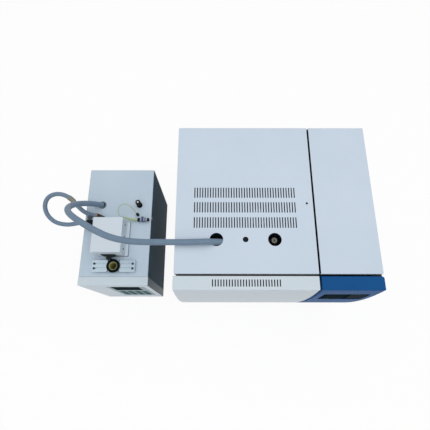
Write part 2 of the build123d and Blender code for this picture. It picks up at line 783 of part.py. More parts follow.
def make_exhaust_duct():
    """Sheet duct from the oven's back wall to the outside of the rear panel."""
    y = (liner_back, duct_end)
    outer = slab((duct_x - duct_width / 2, duct_x + duct_width / 2), y,
                 (duct_z - duct_height / 2, duct_z + duct_height / 2))
    inner = slab((duct_x - duct_width / 2 + duct_wall, duct_x + duct_width / 2 - duct_wall), (y[0] - 1, y[1] + 1),
                 (duct_z - duct_height / 2 + duct_wall, duct_z + duct_height / 2 - duct_wall))
    return outer - inner + flap_bracket()


def flap_bracket():
    """Strap over the duct's end with two ears, and the pin riveted through them."""
    top = duct_z + duct_height / 2
    half = duct_width / 2 + 3.25
    strap = slab((duct_x - half - 0.75, duct_x + half + 0.75), (rear_back, duct_end - 1), (top, top + 1.5))
    for side in (-1, 1):
        x = duct_x + side * half
        ear = slab((x - 0.75, x + 0.75), (rear_back, flap_pin_y + 4), (top - 4, flap_pin_z + 4))
        strap += fillet(ear.edges().filter_by(Axis.X).group_by(Axis.Y)[-1], 3.0)
    pin = rod((duct_x - half - 2, flap_pin_y, flap_pin_z), (1, 0, 0), flap_pin_radius, 2 * half + 4)
    return strap + pin


def make_exhaust_flap():
    """Flap that hangs over the duct's mouth from a rolled upper edge."""
    half = duct_width / 2 + 1.5
    y0 = duct_end + flap_gap
    plate = slab((duct_x - half, duct_x + half), (y0, y0 + flap_thickness),
                 (duct_z - duct_height / 2 - 3, flap_pin_z))
    eye = rod((duct_x - half, flap_pin_y, flap_pin_z), (1, 0, 0), flap_pin_radius + 1.4, 2 * half)
    stiffener = slab((duct_x - half, duct_x + half), (y0, y0 + 6),
                     (duct_z - duct_height / 2 - 3, duct_z - duct_height / 2 - 1.5))
    flap = plate + eye + stiffener
    return flap - rod((duct_x - half - 1, flap_pin_y, flap_pin_z), (1, 0, 0),
                      flap_pin_radius + running_clearance, 2 * half + 2)


def make_gas_fittings():
    """Brass bulkhead unions: hexagon, panel thread and a tube stub."""
    fittings = []
    for x in gas_places:
        inner = hexagon((x, rear_front - 6, gas_z), (0, 1, 0), 14.0, 6)
        thread = rod((x, rear_front, gas_z), (0, 1, 0), gas_thread_radius, sheet)
        outer = hexagon((x, rear_back, gas_z), (0, 1, 0), 14.0, 7)
        reach = overall_depth / 2 - rear_back - 7
        neck = rod((x, rear_back + 7, gas_z), (0, 1, 0), 4.2, reach - gas_stub_length)
        stub = rod((x, overall_depth / 2 - gas_stub_length, gas_z), (0, 1, 0), gas_stub_radius, gas_stub_length)
        tail = rod((x, rear_front - 16, gas_z), (0, 1, 0), 3.0, 10)
        fittings.append(inner + thread + outer + neck + stub + tail)
    return Compound(children=fittings)


gas_stub_radius = 3.0
gas_stub_length = 12.0


def mains_inlet():
    """Appliance inlet with its flange and three blades in a recess."""
    flange = round_plate((inlet_x, rear_back, inlet_z), (0, 1, 0), 38.0, 30.0, 4.0, 2.5)
    body = slab((inlet_x - 13.7, inlet_x + 13.7), (rear_front - 18, rear_back), (inlet_z - 10.2, inlet_z + 10.2))
    recess = round_plate((inlet_x, rear_front - 14, inlet_z), (0, 1, 0), 24.4, 16.4, 2.0, 40)
    inlet = flange + body - recess
    for dx, dz in ((-7, -2), (0, 2), (7, -2)):
        inlet += slab((inlet_x + dx - 1, inlet_x + dx + 1), (rear_front - 14, rear_back - 3),
                      (inlet_z + dz - 2, inlet_z + dz + 2))
    return inlet


switch_pivot_y = rear_back - 1.0
rocker_length = 16.0
rocker_width = 9.0


def make_power_entry():
    """Mains inlet and the switch housing above it, snapped into the rear panel."""
    return Compound(children=[mains_inlet(), switch_housing()])


def switch_housing():
    """Housing of the rocker switch, with its pivot pin."""
    flange = round_plate((inlet_x, rear_back, switch_z), (0, 1, 0), 20.0, 26.0, 2.0, 2.0)
    body = slab((inlet_x - 6.7, inlet_x + 6.7), (rear_front - 14, rear_back), (switch_z - 9.7, switch_z + 9.7))
    hollow = slab((inlet_x - rocker_width / 2 - 0.4, inlet_x + rocker_width / 2 + 0.4), (rear_front - 8, rear_back + 3),
                  (switch_z - rocker_length / 2 - 0.5, switch_z + rocker_length / 2 + 0.5))
    pin = rod((inlet_x - 6, switch_pivot_y, switch_z), (1, 0, 0), 1.0, 12)
    return flange + body - hollow + pin


def make_power_rocker():
    """Rocker: a shallow V top over a half-round underside, on the housing's pin."""
    rise = 4.2
    tilt = radians(11.0)
    half = rocker_length / 2 - 0.6
    outline = Polyline((0.8, -half), (rise + half * tan(tilt) - 1.2, -half), (rise - 1.2, 0),
                       (rise + half * tan(tilt) - 1.2, half), (0.8, half), (-4.0, 2.5), (-4.0, -2.5), (0.8, -half))
    body = extrude(Plane.YZ.offset(inlet_x - rocker_width / 2) * make_face(outline), rocker_width)
    body = Pos(0, switch_pivot_y, switch_z) * Pos(0, 0, 0) * body
    body -= rod((inlet_x - 8, switch_pivot_y, switch_z), (1, 0, 0), 1.0 + running_clearance, 16)
    turn = Rot(-11.0, 0, 0)
    hub = Pos(0, switch_pivot_y, switch_z)
    return hub * turn * hub.inverse() * body


def make_cooling_fan_frame():
    """Square fan frame behind the rear grille, with struts and a motor cup."""
    y0 = rear_front - cooling_fan_depth
    frame = round_plate((cooling_fan_x, y0, cooling_fan_z), (0, 1, 0), cooling_fan_size, cooling_fan_size, 5.0,
                        cooling_fan_depth)
    frame -= rod((cooling_fan_x, y0 - 1, cooling_fan_z), (0, 1, 0), cooling_fan_size / 2 - 3, cooling_fan_depth + 2)
    for i in range(4):
        strut = slab((15, cooling_fan_size / 2 - 2), (y0, y0 + 3), (-1.5, 1.5))
        frame += Pos(cooling_fan_x, 0, cooling_fan_z) * Rot(0, 45 + 90 * i, 0) * strut
    frame += rod((cooling_fan_x, y0, cooling_fan_z), (0, 1, 0), 17.0, 4)
    return frame + rod((cooling_fan_x, y0 + 4, cooling_fan_z), (0, 1, 0), 1.5, 12)


def make_cooling_fan_rotor():
    """Seven-blade rotor on the frame's pin."""
    y0 = rear_front - cooling_fan_depth + 4.4
    hub = rod((cooling_fan_x, y0, cooling_fan_z), (0, 1, 0), 17.0, 16)
    reach = cooling_fan_size / 2 - 4.5
    for i in range(7):
        blade = Rot(0, 360.0 * i / 7, 0) * Pos((15 + reach) / 2, 0, 0) * Rot(38, 0, 0) * Box(reach - 15, 1.4, 20)
        blade &= rod((0, -9, 0), (0, 1, 0), reach, 18)
        hub += Pos(cooling_fan_x, y0 + 8, cooling_fan_z) * blade
    return hub - rod((cooling_fan_x, y0 - 1, cooling_fan_z), (0, 1, 0), 1.5 + running_clearance, 13)


# ---------------------------------------------------------------- electronics bay

window_x1 = cab_right - window_inset
window_x0 = window_x1 - window_width
window_z1 = cabinet_height - window_drop
window_z0 = window_z1 - window_height


def window_prism(grow, y0, y1):
    """Rounded window outline run along Y."""
    centre = ((window_x0 + window_x1) / 2, y0, (window_z0 + window_z1) / 2)
    return round_plate(centre, (0, 1, 0), window_width + 2 * grow, window_height + 2 * grow,
                       window_corner + grow, y1 - y0)


def make_control_fascia():
    """Moulded fascia with the door's crowned profile and a recess for the window."""
    z0, z1 = door_clearance, door_top
    body = front_body(seam_right, cab_right, z0, z1, 0.0, door_back)
    front_edges = [e for e in body.edges() if e.center().Y < door_back - 25.0]
    body = fillet(front_edges, 3.0)
    corner = [e for e in body.edges().filter_by(Axis.Z) if e.center().X > cab_right - 1]
    body = fillet(corner, 6.0)
    body -= front_body(seam_right + door_wall, cab_right - door_wall, z0 + door_wall, z1 - door_wall,
                       door_wall, door_back + 1)
    seat = front_body(window_x0 - 8, window_x1 + 8, window_z0 - 12, window_z1 + 12, door_wall - 0.5,
                      front + door_wall + 12)
    seat &= window_prism(6.0, front - 5, front + 60)
    pocket = window_prism(0.3, front - 5, front + 60) & (
        front_body(window_x0 - 9, window_x1 + 9, window_z0 - 20, window_z1 + 20, -5.0, front + 40)
        - front_body(window_x0 - 9, window_x1 + 9, window_z0 - 20, window_z1 + 20, window_depth, front + 41))
    body = body + seat - pocket - window_prism(-5.0, front - 5, front + 60)
    for x in (seam_right + 8, cab_right - 8):
        for z in (z0 + 12, z1 - skirt - 18):
            body += rod((x, door_back - 8, z), (0, 1, 0), 5.5, bulkhead_front - door_back + 8)
    return body


def make_display_window():
    """Glossy window over the display and the touch keys, curved with the fascia."""
    skin = front_body(window_x0 - 9, window_x1 + 9, window_z0 - 20, window_z1 + 20, 0.2, front + 40)
    skin -= front_body(window_x0 - 9, window_x1 + 9, window_z0 - 20, window_z1 + 20, window_depth, front + 41)
    return window_prism(0.0, front - 5, front + 60) & skin


def make_main_board():
    """Main circuit board on pillars from the partition."""
    face = seam_middle + sheet / 2
    board = slab((face + 8, face + 9.6), (cover_front + 70, cover_front + 320), (150, 400))
    for y in (cover_front + 78, cover_front + 312):
        for z in (158, 392):
            board += rod((face, y, z), (1, 0, 0), 3.0, 8)
    for i, (y, z, w, h, t) in enumerate(((110, 350, 36, 36, 4), (170, 340, 28, 50, 6), (230, 350, 44, 30, 12),
                                         (120, 260, 50, 30, 5), (210, 250, 30, 60, 18), (150, 190, 70, 24, 10))):
        board += slab((face + 9.6, face + 9.6 + t), (cover_front + y - w / 2, cover_front + y + w / 2),
                      (z - h / 2, z + h / 2))
    return board


def make_transformer():
    """Mains transformer on the base plate: laminated core, windings and feet."""
    x = (seam_right + cab_right) / 2 + 6
    y = cover_rear - 150
    core = slab((x - 48, x + 48), (y - 22, y + 22), (base_top + 4, base_top + 84))
    for side in (-1, 1):
        core -= slab((x + side * 22 - 9, x + side * 22 + 9), (y - 30, y + 30), (base_top + 20, base_top + 68))
    coil = slab((x - 28, x + 28), (y - 36, y + 36), (base_top + 21, base_top + 67))
    coil = fillet(coil.edges().filter_by(Axis.Z), 12.0)
    feet = slab((x - 58, x + 58), (y - 22, y + 22), (base_top, base_top + 4))
    return core + coil + feet


# ---------------------------------------------------------------- sampler

def sampler_foot_places():
    """Centres of the sampler's feet."""
    xs = (sam_left + sampler_foot_inset, sam_right - sampler_foot_inset)
    ys = (sam_front + 48.0, sam_rear - sampler_foot_inset)
    return [(x, y) for x in xs for y in ys]


def make_sampler_base():
    """Sampler floor, folded up at the sides inside the cover, with the rear sheet welded to it."""
    side = sheet + fit_gap + 0.75
    left, right = sam_left + side, sam_right - side
    path = ((left, foot_height + 20), (left, foot_height + 0.75), (right, foot_height + 0.75),
            (right, foot_height + 20))
    return section_y(path, 1.5, bezel_back + 1.0, sam_rear - sheet - fit_gap) + sampler_back()


def make_sampler_cover():
    """Cover sheet folded over the top and both sides."""
    x = (sam_left, sam_right)
    z = (foot_height, deck)
    y = (bezel_back + 0.6, sam_rear)
    body = slab(x, y, z)
    top_edges = [e for e in body.edges().filter_by(Axis.Y) if e.center().Z > deck - 1]
    body = fillet(top_edges, 3.0)
    hollow = slab((x[0] + sheet, x[1] - sheet), (y[0] - 1, y[1] + 1), (z[0] - 1, z[1] - sheet))
    body -= hollow
    holes = [rod((well_x, well_y, deck - sheet - 1), (0, 0, 1), well_radius + 4.4, sheet + 2)]
    holes.append(rod((transfer_route[0][0] + 1, transfer_route[0][1], deck - sheet - 1), (0, 0, 1),
                     transfer_radius + 3.2, sheet + 2))
    return body - holes


def sampler_back():
    """Rear sheet between the cover's sides, with louvres."""
    x = (sam_left + sheet + fit_gap, sam_right - sheet - fit_gap)
    panel = slab(x, (sam_rear - sheet - fit_gap, sam_rear - fit_gap), (foot_height, deck - sheet))
    for i in range(10):
        z = 90 + i * 12.0
        panel -= slab((sam_mid - 45, sam_mid + 45), (sam_rear - 10, sam_rear + 5), (z - 2, z + 2))
    return panel


def make_sampler_bezel():
    """Moulded front frame of the sampler."""
    body = slab((sam_left, sam_right), (sam_front, bezel_back), (foot_height, deck))
    front_edges = [e for e in body.edges() if e.center().Y < sam_front + 0.1]
    body = fillet(front_edges, 4.0)
    hollow = slab((sam_left + bezel_wall, sam_right - bezel_wall), (sam_front + bezel_wall, bezel_back + 1),
                  (foot_height + bezel_wall, deck - bezel_wall))
    body -= hollow
    body -= slab(panel_x, (sam_front - 1, sam_front + 1.2), panel_z)
    body -= slab((screen_x[0] + 5, screen_x[1] - 5), (sam_front - 1, sam_front + 6),
                 (screen_z[0] + 5, screen_z[1] - 5))
    for side in (-1, 1):
        for z in (foot_height + 30, deck - 30):
            x = sam_mid + side * (sampler_width / 2 - 12)
            body += rod((x, sam_front + 2, z), (0, 1, 0), 5.0, bezel_depth - 2 + 1.0)
    return body


screen_x = (sam_left + 93.0, sam_left + 185.0)
screen_z = (250.0, 339.0)
panel_x = (sam_left + 82.0, sam_left + 205.0)
panel_z = (88.0, 348.0)


def make_sampler_panel():
    """Membrane panel let into the bezel, with a window rim and raised key fields."""
    inset = 0.3
    panel = slab((panel_x[0] + inset, panel_x[1] - inset), (sam_front + 0.2, sam_front + 1.2),
                 (panel_z[0] + inset, panel_z[1] - inset))
    panel -= slab(screen_x, (sam_front - 1, sam_front + 2), screen_z)
    return panel + sampler_keys()


key_columns = 4
key_rows = 6


def sampler_keys():
    """Raised key fields of the membrane."""
    width, height, pitch_x, pitch_z = 20.0, 13.0, 26.0, 21.0
    keys = None
    x0 = (panel_x[0] + panel_x[1]) / 2 - pitch_x * (key_columns - 1) / 2
    for row in range(key_rows):
        for column in range(key_columns):
            x = x0 + column * pitch_x
            z = 220.0 - row * pitch_z
            key = round_plate((x, sam_front - 0.5, z), (0, 1, 0), width, height, 2.0, 1.2)
            keys = key if keys is None else keys + key
    return keys


def make_sampler_screen():
    """Display glass in the membrane's window."""
    return slab((screen_x[0] + 0.3, screen_x[1] - 0.3), (sam_front + 0.2, sam_front + 1.2),
                (screen_z[0] + 0.3, screen_z[1] - 0.3))


def make_valve_cover():
    """Folded box over the sampling valve with a foot flange along its right side and front corner."""
    body = slab((box_left, box_right), (box_front, box_rear), (deck, deck + valve_cover_height))
    rounded = [e for e in body.edges() if e.center().Z > deck + 1]
    body = fillet(rounded, 2.0)
    body -= slab((box_left + 1.5, box_right - 1.5), (box_front + 1.5, box_rear - 1.5),
                 (deck - 1, deck + valve_cover_height - 1.5))
    flange = slab((box_right - 1, box_right + 10), (box_front, box_rear), (deck, deck + 1.5))
    body += chamfer(flange.edges().filter_by(Axis.Z).group_by(Axis.X)[-1], 1.5)
    body -= rod((box_left - 1, elbow_y, elbow_z), (1, 0, 0), 4.2, 4)
    for y in box_screw_places:
        body -= rod((box_right - 3, y, deck + 27), (1, 0, 0), 1.6, 5)
    return body


box_screw_places = (box_front + 14.0, (box_front + box_rear) / 2, box_rear - 14.0)


def sampler_screws():
    """Screws of the valve cover, the vial plate, the flange and the cover's right side."""
    screws = []
    for y in box_screw_places:
        screws.append(rod((box_right, y, deck + 27), (1, 0, 0), 2.6, 1.5)
                      + rod((box_right - 1.5, y, deck + 27), (1, 0, 0), 1.6, 1.5))
    for side in (-1, 1):
        for dy in (-7.5, 7.5):
            x = well_x + side * (vial_plate_width / 2 - 7.5)
            washer = rod((x, well_y + dy, plate_top), (0, 0, 1), 4.0, 0.8)
            screws.append(washer + rod((x, well_y + dy, plate_top + 0.8), (0, 0, 1), 2.4, 2.4))
    for side in (-1, 1):
        for dy in (-1, 1):
            start = (well_x + side * 18.0, well_y + dy * 16.5, plate_top)
            screws.append(rod(start, (0, 0, 1), 1.9, 2.0))
    for y, z in ((sam_front + 40, deck - 42.0), (sam_front + 62, 60.0), (sam_rear - 40, deck - 42.0)):
        screws.append(rod((sam_right, y, z), (1, 0, 0), 3.0, 1.4))
    return screws


def make_panel_screws():
    """All the screws that hold covers and plates."""
    return Compound(children=cover_screws() + sampler_screws())


def make_vial_plate():
    """Polished bridge plate round the vial well with two pairs of cooling slots."""
    block = slab((well_x - vial_plate_width / 2, well_x + vial_plate_width / 2),
                 (well_y - vial_plate_depth / 2, well_y + vial_plate_depth / 2), (deck, plate_top))
    block = chamfer(block.edges().filter_by(Axis.Z), 1.0)
    arch = slab((well_x - vial_plate_width / 2 + 14, well_x + vial_plate_width / 2 - 14),
                (well_y - vial_plate_depth, well_y + vial_plate_depth), (deck - 1, deck + 4))
    block -= arch
    block -= rod((well_x, well_y, deck - 1), (0, 0, 1), well_radius + 4, vial_plate_height + 2)
    for side in (-1, 1):
        for dy in (-7.0, 7.0):
            x = well_x + side * 41.0
            block -= slab((x - 16.5, x + 16.5), (well_y + dy - 2.2, well_y + dy + 2.2), (plate_top - 3, plate_top + 1))
    return block


def make_well_flange():
    """Black ring round the well's mouth."""
    ring = tube((well_x, well_y, plate_top), (0, 0, 1), well_flange_radius, well_radius + 1.5, 5.0)
    outer = [e for e in ring.edges().filter_by(GeomType.CIRCLE)
             if e.radius > well_flange_radius - 0.1 and e.center().Z > plate_top + 1]
    return chamfer(outer, 1.2)


def make_well_liner():
    """Brass vial well: a blind sleeve with a short collar inside the ring."""
    top = plate_top + 3.6
    sleeve = tube((well_x, well_y, top - well_depth), (0, 0, 1), well_radius + 1.5, well_radius, well_depth)
    return sleeve + rod((well_x, well_y, top - well_depth - 3), (0, 0, 1), well_radius + 1.5, 3)


def make_vial_heater():
    """Aluminium heater round the well, hung under the sampler's deck."""
    top = deck - sheet
    block = slab((well_x - 30, well_x + 30), (well_y - 19, well_y + 19), (top - 44, top))
    block -= rod((well_x, well_y, top - 45), (0, 0, 1), well_radius + 1.5, 46)
    for side in (-1, 1):
        block -= rod((well_x + side * 22, well_y, top - 45), (0, 0, 1), 3.2, 36)
    return block


def make_thumb_bracket():
    """Black clamp on the valve cover's front: a wedge-shaped strap, two thumb nuts and a stub."""
    y = box_front
    x0 = box_left + 25.5
    outline = Polyline((x0, y), (x0 + 42, y), (x0 + 42, y - 7), (x0 + 30, y - 9), (x0 + 14, y - 7),
                       (x0, y - 2.5), (x0, y))
    strap = extrude(Plane.XY.offset(deck + 20) * make_face(outline), 9.0)
    for dx in (22.0, 30.0):
        strap += rod((x0 + dx, y - 13.0, deck + 18), (0, 0, 1), 4.2, 14)
        strap += slab((x0 + dx - 2, x0 + dx + 2), (y - 13, y - 5), (deck + 21, deck + 27))
    return strap + rod((x0 + 42, y - 4.5, deck + 24.5), (1, 0, 0), 2.6, 5)


def make_vent_valve():
    """Needle valve body: a base nut on the deck and the valve's neck."""
    x, y = vent_x, vent_y
    base = rod((x, y, deck), (0, 0, 1), 9.5, 4) + hexagon((x, y, deck + 4), (0, 0, 1), 12.0, 5)
    neck = rod((x, y, deck + 9), (0, 0, 1), 3.0, 14)
    return base + neck


vent_x = sam_right - 42.5
vent_y = sam_front + 269.0


def make_vent_knob():
    """Knurled knob of the needle valve, bored for the neck, with a metal centre."""
    z0 = deck + 9.4
    knob = rod((vent_x, vent_y, z0), (0, 0, 1), 8.5, 23.0)
    knob = fillet(knob.edges().filter_by(GeomType.CIRCLE).sort_by(Axis.Z)[-1], 1.0)
    for i in range(12):
        turn = radians(i * 30.0)
        knob -= rod((vent_x + 9.1 * cos(turn), vent_y + 9.1 * sin(turn), z0 - 1), (0, 0, 1), 1.3, 20)
    bore = rod((vent_x, vent_y, z0 - 1), (0, 0, 1), 3.0 + running_clearance, 15)
    return knob + rod((vent_x, vent_y, z0 + 23), (0, 0, 1), 4.6, 1.2) - bore


fitting_y = sam_front + 215.0


def make_deck_fittings():
    """Compression fittings on the deck, the sleeved lead that ends in them, and the earth terminal."""
    z = deck + 9.0
    x0 = sam_right - 44.0
    block = slab((x0 + 10, x0 + 24), (fitting_y - 6, fitting_y + 8), (deck, z + 7))
    block = chamfer(block.edges().filter_by(Axis.Z), 2.0)
    run = rod((x0, fitting_y, z), (1, 0, 0), 2.0, 38)
    left = hexagon((x0, fitting_y, z), (1, 0, 0), 11.0, 10)
    right = hexagon((x0 + 24, fitting_y, z), (1, 0, 0), 11.0, 8)
    return Compound(children=[block + run + left + right, hose(lead_route, lead_radius, "lead"), earth_post()])


def earth_post():
    """Earth terminal: a post with a round head."""
    x, y = earth_x, earth_y
    return rod((x, y, deck), (0, 0, 1), 3.0, 6) + rod((x, y, deck + 6), (0, 0, 1), 5.0, 6)


earth_x = sam_right - 45.5
earth_y = sam_front + 234.0
elbow_y = box_rear - 10.0
elbow_z = deck + 29.5


def loop_elbow():
    """Moulded elbow on the valve cover's left side that takes the loop hose."""
    flange = hexagon((box_left, elbow_y, elbow_z), (-1, 0, 0), 18.0, 5)
    spigot = rod((box_left + 6, elbow_y, elbow_z), (-1, 0, 0), 4.0, 8)
    body = rod((box_left - 5, elbow_y, elbow_z), (-1, 0, 0), 8.6, loop_route[-1][0] * -1 + box_left - 5)
    return flange + spigot + body


def loop_boot():
    """Tapered boot on the deck behind the valve cover where the loop hose ends."""
    start = loop_route[0]
    boot = Cone(loop_radius + 0.8, 4.0, 26, align=(Align.CENTER, Align.CENTER, Align.MIN))
    toward = (start[0] - loop_route[1][0], start[1] - loop_route[1][1], start[2] - loop_route[1][2])
    boot = Plane(origin=start, z_dir=toward) * boot
    away = route_vector(loop_route, 0)
    end = tuple(p - 26 * t for p, t in zip(start, away))
    return boot + Pos(*end) * Sphere(4.0) + rod((end[0], end[1], deck), (0, 0, 1), 4.0, end[2] - deck)


def transfer_grommet():
    """Rubber grommet in the deck round the transfer hose."""
    x, y = transfer_route[0][0] + 1, transfer_route[0][1]
    ring = rod((x, y, deck), (0, 0, 1), transfer_radius + 4.0, 2.0)
    ring += rod((x, y, deck - sheet), (0, 0, 1), transfer_radius + 3.0, sheet)
    toward = route_vector(transfer_route, 0)
    start = tuple(p - 8 * t for p, t in zip(transfer_route[0], toward))
    return ring - rod(start, toward, transfer_radius + 0.05, 30)


def make_hose_glands():
    """Glands that the hoses enter: the elbow, the tapered boot and the deck grommet."""
    return Compound(children=[loop_elbow(), loop_boot(), transfer_grommet()])


# ---------------------------------------------------------------- hoses and wires

transfer_route = [
    (-405, 28, 373.5), (-417, 24, 393), (-431, 17, 420), (-445, 6, 450), (-454, -8, 481), (-456, -26, 513),
    (-448, -46, 543), (-432, -65, 565), (-411, -82, 579), (-388, -97, 587), (-365, -111, 588), (-342, -123, 584),
    (-318, -133, 576), (-292, -139, 564), (-262, -141, 548), (-230, -138, 531), (-191, -133, 514),
    (-146, -129.5, 504), (-105, -127, 505), (-72, -125, 507.5), (-45, -122.5, 504), (-19.5, -120.5, 490),
    (6, -120.5, 472.5), (27, -120.5, 459.5)]
loop_route = [
    (-414, -14, 385), (-435, -9, 390), (-453, 2, 400), (-467, 18, 412), (-482, 37, 426), (-507, 49, 435),
    (-535, 51, 435), (-561, 42, 428), (-576, 23, 417), (-580, 2, 404), (-571, -19, 392), (-548, -38, 384),
    (-512, -46.5, 386), (-486, -46, 395), (-462, -43.5, 403), (-441, -43.5, 403)]


def route_vector(route, i):
    """Unit vector of one run of a route."""
    a, b = route[i], route[i + 1]
    length = sqrt(sum((q - p) ** 2 for p, q in zip(a, b)))
    return tuple((q - p) / length for p, q in zip(a, b))


def corner_radii(route):
    """Largest arc that the two runs beside each corner allow."""
    points = [Vector(*p) for p in route]
    radii = []
    for a, b, c in zip(points, points[1:], points[2:]):
        turn = radians((b - a).get_angle(c - b))
        radii.append(0.45 * min((b - a).length, (c - b).length) / tan(turn / 2))
    return radii


def hose(route, radius, name):
    """Round hose along a route of straight runs joined by tangent arcs."""
    radii = corner_radii(route)
    print(name, "bend radii", [round(r) for r in radii])
    path = FilletPolyline(*route, radius=radii)
    start = Plane(origin=route[0], z_dir=route_vector(route, 0))
    solid = sweep(start * Circle(radius), path=path)
    print(name, "length", round(path.length), "volume ratio",
          round(solid.volume / (pi * radius ** 2 * path.length), 4))
    return solid


wire_loop_route = [
    (-286, -3.6, 382.5), (-296, 6, 391), (-311, 18, 398), (-326, 21, 400), (-340, 14, 399), (-346, 0, 397),
    (-343, -11, 394.5), (-335, -18, 392.5), (-324, -21, 391)]
lead_route = [(-324, -21, 391), (-309, -25, 388), (-295, -26.5, 382.5), (-280.5, -26.5, 382.5)]


def transfer_ferrule():
    """Steel end sleeve of the transfer hose below the port, with a cone to the capillary."""
    start = transfer_route[-1]
    toward = route_vector(transfer_route, len(transfer_route) - 2)
    sleeve = rod(start, toward, transfer_radius, 14)
    cone = Cone(transfer_radius - 1, 2.4, 10, align=(Align.CENTER, Align.CENTER, Align.MIN))
    tip = tuple(p + 14 * t for p, t in zip(start, toward))
    return sleeve + Plane(origin=tip, z_dir=toward) * cone


def transfer_capillary():
    """Steel capillary from the ferrule back to the left inlet's side."""
    start = transfer_route[-1]
    toward = route_vector(transfer_route, len(transfer_route) - 2)
    tip = tuple(p + 24 * t for p, t in zip(start, toward))
    x, y, z = tip
    route = [tip, (x + 8, y, z - 3), (x + 12, y, z - 9), (x + 5, y, z - 14), (x - 12, y, z - 15),
             (left_port_x + injector_radius, port_y, z - 15)]
    return hose(route, 0.8, "capillary")


def make_transfer_adapter():
    """End sleeve and capillary of the transfer line."""
    return Compound(children=[transfer_ferrule(), transfer_capillary()])


def make_earth_wire():
    """Thin earth wire looped above the deck, from its terminal to the fittings."""
    return hose(wire_loop_route, wire_radius, "earth wire")


NODES = {
    "base_plate": make_base_plate,
    "rubber_feet": make_feet,
    "left_side_panel": lambda: make_side_panel(side_face, 1),
    "right_side_panel": lambda: make_side_panel(far_face, -1),
    "front_bulkhead": make_bulkhead,
    "bay_partition": make_partition,
    "rear_panel": make_rear_panel,
    "oven_top_cover": make_oven_top_cover,
    "electronics_top_cover": lambda: make_top_cover(seam_right, cab_right, -1),
    "panel_screws": make_panel_screws,
    "door_shell": make_door_shell,
    "door_liner": make_door_liner,
    "door_gasket": make_door_gasket,
    "hinge_brackets": make_hinge_fixed,
    "door_hinge_leaves": make_hinge_moving,
    "oven_liner": make_oven_liner,
    "oven_insulation": make_oven_insulation,
    "oven_casing": make_oven_casing,
    "fan_shaft": make_fan_shaft,
    "fan_impeller": make_fan_impeller,
    "fan_motor": make_fan_motor,
    "fan_shroud": make_fan_shroud,
    "heater_coil": make_heater_coil,
    "column_cage": make_column_cage,
    "column_coil": make_column_coil,
    "injector_bodies": make_injectors,
    "septum_nut": make_septum_nut,
    "injector_heater_blocks": make_heater_blocks,
    "middle_port_plug": make_port_plug,
    "flame_detector": make_detector,
    "exhaust_duct": make_exhaust_duct,
    "exhaust_flap": make_exhaust_flap,
    "gas_fittings": make_gas_fittings,
    "power_entry": make_power_entry,
    "power_rocker": make_power_rocker,
    "cooling_fan_frame": make_cooling_fan_frame,
    "cooling_fan_rotor": make_cooling_fan_rotor,
    "control_fascia": make_control_fascia,
    "display_window": make_display_window,
    "main_board": make_main_board,
    "power_transformer": make_transformer,
    "sampler_chassis": make_sampler_base,
    "sampler_cover": make_sampler_cover,
    "sampler_bezel": make_sampler_bezel,
    "sampler_key_panel": make_sampler_panel,
    "sampler_screen": make_sampler_screen,
    "valve_cover": make_valve_cover,
    "vial_plate": make_vial_plate,
    "well_flange": make_well_flange,
    "well_liner": make_well_liner,
    "vial_heater": make_vial_heater,
    "thumb_bracket": make_thumb_bracket,
    "vent_valve": make_vent_valve,
    "vent_knob": make_vent_knob,
    "deck_fittings": make_deck_fittings,
    "hose_glands": make_hose_glands,
    "transfer_adapter": make_transfer_adapter,
    "transfer_hose": lambda: hose(transfer_route, transfer_radius, "transfer hose"),
    "loop_hose": lambda: hose(loop_route, loop_radius, "loop hose"),
    "earth_wire": make_earth_wire,
}

for node, make in NODES.items():
    save(make(), node)
print(len(NODES), "nodes")
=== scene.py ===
"""Bench gas chromatograph with a headspace sampler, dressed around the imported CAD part. Lengths are in
metres."""

from math import cos, hypot, pi, radians, sin, sqrt

import bmesh
import bpy
from mathutils import Matrix, Vector


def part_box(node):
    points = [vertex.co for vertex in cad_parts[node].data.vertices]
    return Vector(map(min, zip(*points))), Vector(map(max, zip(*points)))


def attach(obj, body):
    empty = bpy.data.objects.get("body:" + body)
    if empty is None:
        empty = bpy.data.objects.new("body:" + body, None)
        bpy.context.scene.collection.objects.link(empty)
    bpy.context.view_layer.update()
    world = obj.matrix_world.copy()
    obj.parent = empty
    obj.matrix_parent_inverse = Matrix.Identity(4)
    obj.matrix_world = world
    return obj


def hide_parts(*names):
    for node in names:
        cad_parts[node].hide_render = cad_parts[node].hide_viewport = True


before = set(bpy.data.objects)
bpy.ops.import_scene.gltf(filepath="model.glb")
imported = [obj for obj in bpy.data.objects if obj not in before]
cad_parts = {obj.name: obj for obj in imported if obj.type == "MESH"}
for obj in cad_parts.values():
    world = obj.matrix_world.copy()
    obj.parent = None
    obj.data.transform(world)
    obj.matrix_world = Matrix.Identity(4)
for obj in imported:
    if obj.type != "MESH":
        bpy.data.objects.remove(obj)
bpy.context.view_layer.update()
scene = bpy.context.scene
scene.view_settings.view_transform = "Standard"


# ---- Camera
# Held above the front of the bench and tipped 18 degrees back from straight down.
camera_place = Vector((-0.0230, -0.3798, 1.5065))
camera_tilt, camera_yaw, camera_roll = 0.318105, 0.0036867, -0.0022971
camera_turn = Matrix.Rotation(camera_yaw, 3, "Z")
camera_look = camera_turn @ Vector((0, sin(camera_tilt), -cos(camera_tilt)))
level_side = camera_turn @ Vector((1, 0, 0))
level_up = camera_turn @ Vector((0, cos(camera_tilt), sin(camera_tilt)))
camera_side = cos(camera_roll) * level_side + sin(camera_roll) * level_up
camera_up = cos(camera_roll) * level_up - sin(camera_roll) * level_side
lens = bpy.data.cameras.new("camera")
lens.sensor_width = 36.0
lens.lens = 29.81
lens.clip_start = 0.02
camera = bpy.data.objects.new("camera", lens)
camera.matrix_world = Matrix.Translation(camera_place) @ Matrix(
    (camera_side, camera_up, -camera_look)).transposed().to_4x4()
scene.collection.objects.link(camera)
scene.camera = camera


